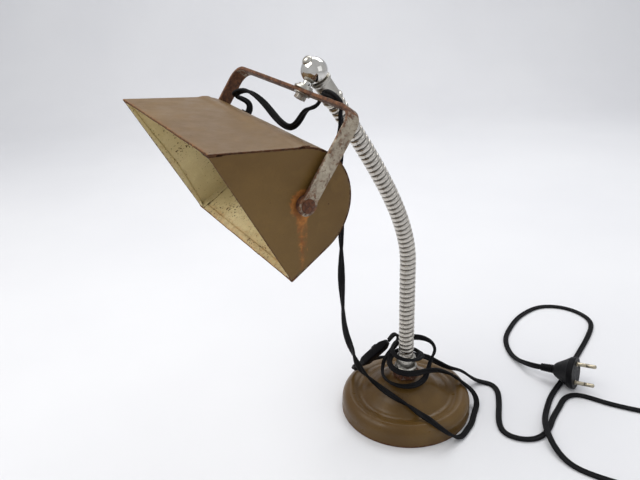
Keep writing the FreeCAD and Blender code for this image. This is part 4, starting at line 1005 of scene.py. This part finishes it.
# ------------------------------------------------------------------ flex tools
FLEX_STEP = 1.6
CORE_R, CORE_X = 1.42, 1.48                        # each core's radius and offset
LOBES = []
for side, facing in ((1, 0), (-1, 180)):
    for i in range(9):
        a = math.radians(facing - 148 + 296 * i / 8)
        LOBES.append((CORE_X * side + CORE_R * math.cos(a), CORE_R * math.sin(a)))


def spline(points):
    """Natural cubic spline resampled at even steps: positions and lengths along it."""
    P = np.array(points, float)
    t = np.concatenate([[0], np.cumsum(np.linalg.norm(np.diff(P, axis=0), axis=1))])
    n = len(P)
    h = np.diff(t)
    A = np.zeros((n, n))
    B = np.zeros((n, 3))
    A[0, 0] = A[-1, -1] = 1
    for i in range(1, n - 1):
        A[i, i - 1], A[i, i], A[i, i + 1] = h[i - 1], 2 * (h[i - 1] + h[i]), h[i]
        B[i] = 6 * ((P[i + 1] - P[i]) / h[i] - (P[i] - P[i - 1]) / h[i - 1])
    M = np.linalg.solve(A, B)
    fine = np.linspace(0, t[-1], int(t[-1] / 0.25) + 2)
    k = np.clip(np.searchsorted(t, fine, side="right") - 1, 0, n - 2)
    a = ((t[k + 1] - fine) / h[k])[:, None]
    b = ((fine - t[k]) / h[k])[:, None]
    hk = h[k][:, None]
    Q = a * P[k] + b * P[k + 1] + ((a ** 3 - a) * M[k] + (b ** 3 - b) * M[k + 1]) * hk ** 2 / 6
    s = np.concatenate([[0], np.cumsum(np.linalg.norm(np.diff(Q, axis=0), axis=1))])
    even = np.linspace(0, s[-1], int(s[-1] / FLEX_STEP) + 1)
    return np.stack([np.interp(even, s, Q[:, i]) for i in range(3)], 1), even


def frames_of(path, first):
    """Tangents, normals and binormals carried along the path without twist."""
    tangents = np.gradient(path, axis=0)
    tangents /= np.linalg.norm(tangents, axis=1)[:, None]
    normals = np.zeros_like(path)
    n = unit(first - tangents[0] * tangents[0].dot(first))
    for i, t in enumerate(tangents):
        n = n - t * t.dot(n)
        n /= np.linalg.norm(n)
        normals[i] = n
    return tangents, normals, np.cross(tangents, normals)


def twists(path, s, frames, turns, low, phase):
    """Section angles: flat wherever the flex is on the floor, turning slowly elsewhere."""
    tangents, normals, binormals = frames
    want = np.arctan2(-(normals @ UP), binormals @ UP)
    floored = (path[:, 2] < low) & (np.abs(tangents @ UP) < 0.35)
    free = phase + s * turns + 0.5 * np.sin(s / 41.0 + phase) + 0.25 * np.sin(s / 17.0)
    if not floored.any():
        return free
    known_s, known_a = [], []
    for i in np.nonzero(floored)[0]:
        near = known_a[-1] if known_a else free[i]
        known_s.append(s[i])
        known_a.append(want[i] + math.pi * round((near - want[i]) / math.pi))
    angles = np.interp(s, known_s, known_a)
    for part, end in ((s < known_s[0], 0), (s > known_s[-1], -1)):
        angles[part] = known_a[end] + (free[part] - np.interp(known_s[end], s, free))
    return angles


def lay(points, first, turns, phase, low=5.0):
    """Path, normals, binormals and section angles. The path sinks a little near the floor."""
    path, s = spline(points)
    frames = frames_of(path, first)
    angles = twists(path, s, frames, turns, low, phase)
    path = path.copy()
    path[:, 2] -= smooth01((9.0 - path[:, 2]) / 5.0) * 0.62
    return path, frames[1], frames[2], angles


def twin(name, path, normals, binormals, angles):
    """A flat two-core flex along the path."""
    verts = []
    for p, n, b, angle in zip(path, normals, binormals, angles):
        c, s = math.cos(angle), math.sin(angle)
        verts += [p + n * (x * c - y * s) + b * (x * s + y * c) for x, y in LOBES]
    faces = closed_tube(verts, len(path), len(LOBES), (path[0], path[-1]))
    ob = build(name, verts, faces, FLEX, sharp=55)
    return ob


def on_shade(turn, along, inset):
    """A point near the barrel's wall; turn in degrees, inset from the wall inwards."""
    return in_shade(*on_barrel(math.radians(turn), BARREL_R - inset), along)


# ------------------------------------------------------------------ flex
# Points the flex passes through, (x, y, z). First from inside the shade to the bracket's bar.
HEAD = [
    on_shade(100, 62, 10), on_shade(100, 62, 4), on_shade(100, 62, -3), on_shade(104, 65, -9.5),
    (-145.7, 11.7, 320.7), (-139.7, 5.7, 325), (-129.8, -4.1, 324.9), (-119.2, -14.7, 317.8),
    (-107.5, -26.3, 306), (-99.6, -34.2, 303.2), (-91.2, -42.5, 311.2), (-84.7, -49, 320),
    on_bracket(-25, 10.2, 65.8)]
SADDLE = [                                         # over the bar
    on_bracket(-28.5, 8.4, 72.6), on_bracket(-34, 5.2, 74.9), on_bracket(-41, 3.6, 75.6),
    on_bracket(-48, 4.6, 75), on_bracket(-53.2, 8.3, 72.4)]
STRAND = [                                         # hanging down and round the foot
    on_bracket(-55.5, 10.3, 66.2), (-61.6, -80.9, 317), (-62.2, -80.8, 308), (-63.2, -81, 290),
    (-64.1, -80.5, 254.3), (-64, -80.5, 229.7), (-64.5, -78.5, 198.6), (-63.9, -72, 158.2),
    (-62.8, -66, 139.8), (-60.2, -58, 121.4), (-56.5, -49, 103.5), (-53.4, -40, 87.5),
    (-49.3, -31, 72), (-43.7, -23, 57.5), (-35.6, -17.5, 43.8), (-25.5, -17.5, 33.2),
    (-12.5, -29.3, 29.8), (-0.1, -38, 25.8), (9.5, -47, 22.9), (15, -54, 23.4),
    (21, -59.6, 21.3), (28.5, -61.6, 15.5), (36.5, -59.5, 8), (44.5, -55.5, 3.2),
    (53, -45.8, 2.3), (60.5, -34.8, 2.3), (66.3, -21.5, 2.5), (70.6, -12, 5.8),
    (69.4, -5.2, 11.8), (63, -1.2, 18.8), (50, 4, 28.5)]
KNOT = [                                           # wound round the neck, up to the switch
    (49, 3.6, 29.6), (43, 2, 34), (33, -2.5, 41), (20, -9.5, 46.5), (6, -15.5, 48.5),
    (-8, -14, 49.8), (-16, -4, 51.2), (-14, 8, 53), (-4, 15, 55), (8, 13.5, 57), (15, 4, 59),
    (13, -7, 61), (3, -14, 63), (-8, -12, 65), (-14, -2, 67), (-10, 8, 69), (0, 13, 71),
    (10, 11, 73), (19, 7, 73.5), (26, 4, 70), (29, 3, 62), (27, 3.5, 54), (24, 1, 47),
    (21, -5, 42.3), (16, -14, 40), (7, -20.8, 39), (-5, -22.2, 38.8), (-17, -15.5, 38.8),
    (-23, -4, 39.2), (-22.5, 6.5, 41), (-19, 16.5, 44.5), (-11, 24, 50.5), (-5, 25, 59),
    (-5.5, 22.5, 68), (-10, 19.2, 71.5), (-13.6, 18, 68.2), (-15.3, 18, 65.9)]
TAIL = [                                           # from the switch over the floor to the plug
    (-44.4, 20.1, 35), (-48, 21.5, 30.8), (-50.5, 26, 27), (-48.5, 32, 25.5), (-41, 36.5, 26.5),
    (-30, 38, 29.5), (-16, 35.5, 33.5), (0, 32, 37.5), (14, 27, 40.5), (26, 20, 41),
    (36, 15, 37.5), (47, 13.5, 32), (58, 17.5, 25.5), (68, 23, 15.5), (76, 26, 7.5),
    (84.5, 26.5, 3), (94.3, 22, 2.2), (98, 11.4, 2.2), (96.5, -0.5, 2.2), (93, -14, 2.2),
    (87.4, -34.3, 2.2), (88.4, -51.3, 2.2), (100, -60.1, 2.2), (114, -61, 2.2),
    (126.8, -53.7, 2.2), (140, -35, 2.2), (153.9, -16.4, 2.2), (164, -5, 2.2),
    (172.7, -1.5, 2.2), (196, -12, 2.2), (228.4, -29.1, 2.2), (256, -46, 2.2), (266, -80, 2.2),
    (243, -118, 2.2), (205, -132, 2.2), (175, -123, 2.2), (153.1, -111, 2.2), (134, -94, 2.6),
    (127, -76, 5.2), (126.4, -57, 6.8), (130, -41, 5.4), (138.5, -22, 3), (150, -2, 2.2),
    (167, 19, 2.2), (186, 43, 2.2), (208, 72, 2.2), (236, 111, 2.2), (246, 136, 2.2),
    (238, 158, 2.2), (219, 171.5, 2.2), (198, 173, 2.2), (178, 163, 2.2), (162, 149, 2.2),
    (147.6, 130, 2.2), (134, 104, 2.2), (131, 84, 2.4), (132.5, 67, 3.6), (138, 52, 6.5),
    (146, 37.8, 11), (150, 34.7, 11.8)]

# The upper flex is one path, cut into pieces where it crosses the lamp's joints.
upper = lay(HEAD + SADDLE + STRAND, LONG, turns=0.05, phase=0.4)
upper_path = upper[0]


def upper_piece(name, first, last):
    return twin(name, *(part[first:last + 1] for part in upper))


def nearest(point):
    return int(np.argmin(np.linalg.norm(upper_path - point, axis=1)))


def first_below(height):
    return off_bar + 1 + int(np.nonzero(upper_path[off_bar + 1:, 2] < height)[0][0])


on_bar, off_bar = nearest(HEAD[-1]), nearest(STRAND[0])
loop = upper_piece("flex_loop", 0, on_bar)
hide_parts("flex_head")
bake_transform(loop)
over_bar = upper_piece("flex_over_bar", on_bar, off_bar)
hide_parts("flex_saddle")
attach(over_bar, "bracket")

CUT_HEIGHTS = [300, 284, 262, 238, 214, 190, 168, 146, 124, 104, 84, 62]
STRAND_NODES = [(306, "flex_drop"), (248, "flex_hang_1"), (194, "flex_hang_2"),   # lowest z
                (136, "flex_hang_3"), (80, "flex_hang_4")]


def node_at(z):
    return next((node for lowest, node in STRAND_NODES if z > lowest), "flex_foot")


marks = [off_bar] + [first_below(height) for height in CUT_HEIGHTS]
for k, (first, last) in enumerate(zip(marks, marks[1:])):
    strand = upper_piece("flex_strand_%02d" % (k + 1), first, last)
    nodes = {node_at(upper_path[i, 2]) for i in (first + 1, (first + last) // 2)}
    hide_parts(*sorted(nodes))
    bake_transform(strand)
round_foot = upper_piece("flex_round_foot", marks[-1], len(upper_path) - 1)
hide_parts("flex_foot")
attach(round_foot, "base")

knot = twin("flex_knot", *lay(KNOT, UP, turns=0.045, phase=1.2, low=-5))
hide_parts("flex_wound")
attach(knot, "base")
tail = twin("flex_floor_run", *lay(TAIL, UP, turns=0.04, phase=0.3))
for node in ("flex_tail", "flex_floor", "flex_lead"):
    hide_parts(node)
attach(tail, "base")

# ------------------------------------------------------------------ in-line switch
SWITCH_IN, SWITCH_OUT = np.array((-16.5, 18.0, 64.5)), np.array((-43.0, 20.0, 36.5))
SWITCH_MID = (SWITCH_IN + SWITCH_OUT) / 2
HALF = np.linalg.norm(SWITCH_OUT - SWITCH_IN) / 2 - 0.2
SWITCH_H, SWITCH_SEGS = 4.5, 40
WIDTH_X = (-HALF, -HALF + 7, -6, 6, HALF - 7, HALF)      # stations of the half widths below
WIDTHS = (3.2, 6.6, 7.6, 7.6, 6.6, 3.2)
sx = unit(SWITCH_OUT - SWITCH_IN)
sz = np.array((-1, 1.2, 0.6))
sz = unit(sz - sx * sx.dot(sz))
sy = np.cross(sz, sx)

verts = []
stations = [-HALF, -HALF + 0.35, -HALF + 1.0, *np.linspace(-HALF + 2, HALF - 2, 40),
            HALF - 1.0, HALF - 0.35, HALF]
for x in stations:
    from_end = min(x + HALF, HALF - x)
    k = math.sqrt(max(0.0, 1 - (1 - min(from_end, 1.2) / 1.2) ** 2)) * 0.12 + 0.88
    width = float(np.interp(x, WIDTH_X, WIDTHS)) * k
    height = SWITCH_H * (0.62 + 0.38 * smooth01(from_end / 7.0)) * k
    for j in range(SWITCH_SEGS):
        a = 2 * math.pi * j / SWITCH_SEGS
        c, s = math.cos(a), math.sin(a)
        y = width * math.copysign(abs(c) ** 0.42, c)
        z = height * math.copysign(abs(s) ** 0.42, s)
        if z > 0:                                  # recess round the button, 1 mm deep
            z -= smooth01((7.9 - abs(x)) / 0.6) * smooth01((3.1 - abs(y)) / 0.6)
        verts.append(SWITCH_MID + sx * x + sy * y + sz * z)
faces = closed_tube(verts, len(stations), SWITCH_SEGS,
                    (SWITCH_MID - sx * HALF, SWITCH_MID + sx * HALF))
case = build("switch_case", verts, faces, BLACK, sharp=45)
register(case, "base", "switch_body")
hardware("switch_button", BLACK, 0.5, 3)

# ------------------------------------------------------------------ plug
# Heights run from the face, where the pins stand, positive out along the pins.
PLUG_AXIS = unit((0.79869, -0.58199, 0.15290))
PLUG_UP = np.array((0.22486, 0.52436, 0.82127))
PLUG_UP = unit(PLUG_UP - PLUG_AXIS * PLUG_AXIS.dot(PLUG_UP))
PLUG_FACE = np.array((179.56, 13.13, 17.9))
PLUG_R, PLUG_LEN, PIN_OFFSET = 18.0, 36.0, 9.5

plug_prof = [(0, -PLUG_LEN), (3.6, -PLUG_LEN)]
for i in range(7):                                 # ribs of the flex sleeve
    z = -PLUG_LEN + 1.0 + i * 1.75
    r = 4.0 + 0.6 * i / 7
    plug_prof += [(r, z), (r, z + 0.7), (r - 0.65, z + 0.95), (r - 0.65, z + 1.5)]
plug_prof += soften([(4.6, -PLUG_LEN + 13.2), (7.5, -PLUG_LEN + 16.0), (PLUG_R - 2.2, -7.0),
                     (PLUG_R - 1.0, -6.0), (PLUG_R - 0.1, -0.8), (PLUG_R - 0.9, 0)],
                    0.7, 4, close=False)
plug_prof += [(9.0, -0.02), (0, 0.0)]


def flats(r, h, a):
    """Narrows the body slightly along PLUG_UP."""
    return r * (1 - 0.03 * (1 + math.cos(2 * a)) * smooth01((r - 9) / 6)), h


plug = lathe("plug_moulding", plug_prof, PLUG_FACE, PLUG_AXIS, BLACK, 120, start=PLUG_UP,
             warp=flats, sharp=40)
register(plug, "base", "plug_body")
PIN_PROF = [(0, 0.02), (2.55, 0.02), (2.55, 0.5), (2.0, 0.75), (2.0, 8.9), (1.86, 9.1),
            (1.86, 9.3), (2.0, 9.5), (2.0, 17.6), (1.7, 18.4), (0.9, 18.95), (0, 19.0)]
for name, offset in (("upper", PIN_OFFSET), ("lower", -PIN_OFFSET)):
    pin = lathe("pin_" + name, PIN_PROF, PLUG_FACE + PLUG_UP * offset, PLUG_AXIS, PINS, 48,
                sharp=50)
    register(pin, "base", "plug_pin_" + name)


# ------------------------------------------------------------------ studio
def studio_cloth():
    grey_pair = (0.76, 0.765, 0.79), (0.80, 0.805, 0.825)
    mat = Mat("studio_cloth")
    weave = mat.add(mat.wave(scale=260, warp=1.5, direction="X"),
                    mat.wave(scale=260, warp=1.5, direction="Y"))
    relief = mat.add(mat.mul(weave, by=0.05), mat.noise(scale=9, detail=3))
    return mat.set(color=mat.mix(mat.spots(scale=3.0, detail=3, rough=0.5, band=(0.3, 0.7)),
                                 *grey_pair),
                   rough=0.95, normal=mat.bump(relief, strength=0.12, depth=0.01))


# A floor that curves up into a wall at the back (+Y).
COLS, ROWS = 40, 60
verts = []
for i in range(ROWS + 1):
    t = i / ROWS * 6.0
    y, z = -1600 + t * 920, 0.0
    if t >= 3.0:
        bend = min((t - 3.0) / 0.7, 1.0) * math.pi / 2
        y = 1160 + 450 * math.sin(bend)
        z = 450 * (1 - math.cos(bend)) + max(0.0, t - 3.7) * 1200
    verts += [(-2600 + 5200 * j / COLS, y, z - 0.05) for j in range(COLS + 1)]
corner = [i * (COLS + 1) + j for i in range(ROWS) for j in range(COLS)]
faces = [(a, a + 1, a + COLS + 2, a + COLS + 1) for a in corner]
build("studio_sweep", verts, faces, studio_cloth(), sharp=180)


def area(name, at, target, size, power, colour=(1, 1, 1)):
    """A rectangular light; places and sizes in metres."""
    light = bpy.data.lights.new(name, "AREA")
    light.shape = "RECTANGLE"
    light.size, light.size_y = size
    light.energy = power
    light.color = colour
    ob = bpy.data.objects.new(name, light)
    ob.location = at
    ob.rotation_euler = (Vector(target) - Vector(at)).to_track_quat("-Z", "Y").to_euler()
    bpy.context.scene.collection.objects.link(ob)


area("key", at=(-0.75, -0.15, 1.15), target=(-0.05, 0, 0.15), size=(0.8, 0.8), power=7.6,
     colour=(1.0, 0.975, 0.93))
area("fill", at=(1.1, -0.9, 0.8), target=(0, 0, 0.15), size=(1.0, 1.0), power=2.2,
     colour=(0.94, 0.97, 1.0))
area("top", at=(0.25, 0.75, 1.25), target=(0, 0.1, 0.1), size=(1.2, 0.7), power=8.6)

SKY_COLOUR, SKY_STRENGTH = (0.965, 0.975, 1.0, 1), 0.60
scene = bpy.context.scene
scene.world = bpy.data.worlds.new("studio")
scene.world.use_nodes = True
sky = scene.world.node_tree.nodes["Background"]
sky.inputs[0].default_value = SKY_COLOUR
sky.inputs[1].default_value = SKY_STRENGTH

CAMERA_AT = (-0.080159, -0.515141, 0.42574)        # metres
camera = bpy.data.cameras.new("photo_angle")
camera.sensor_fit = "HORIZONTAL"
camera.sensor_width = 36.0
camera.lens = 35.17441875
camera.clip_start, camera.clip_end = 0.01, 50
camera_ob = bpy.data.objects.new("photo_angle", camera)
scene.collection.objects.link(camera_ob)
right = unit((0.99898, -0.01883, -0.04104))
ahead = np.array((0.0, 0.90889, -0.41704))
ahead = unit(ahead - right * right.dot(ahead))
above = np.cross(right, ahead)
camera_ob.matrix_world = Matrix([*zip(right, above, -ahead, CAMERA_AT), (0, 0, 0, 1)])
scene.camera = camera_ob
scene.view_settings.view_transform = "Standard"
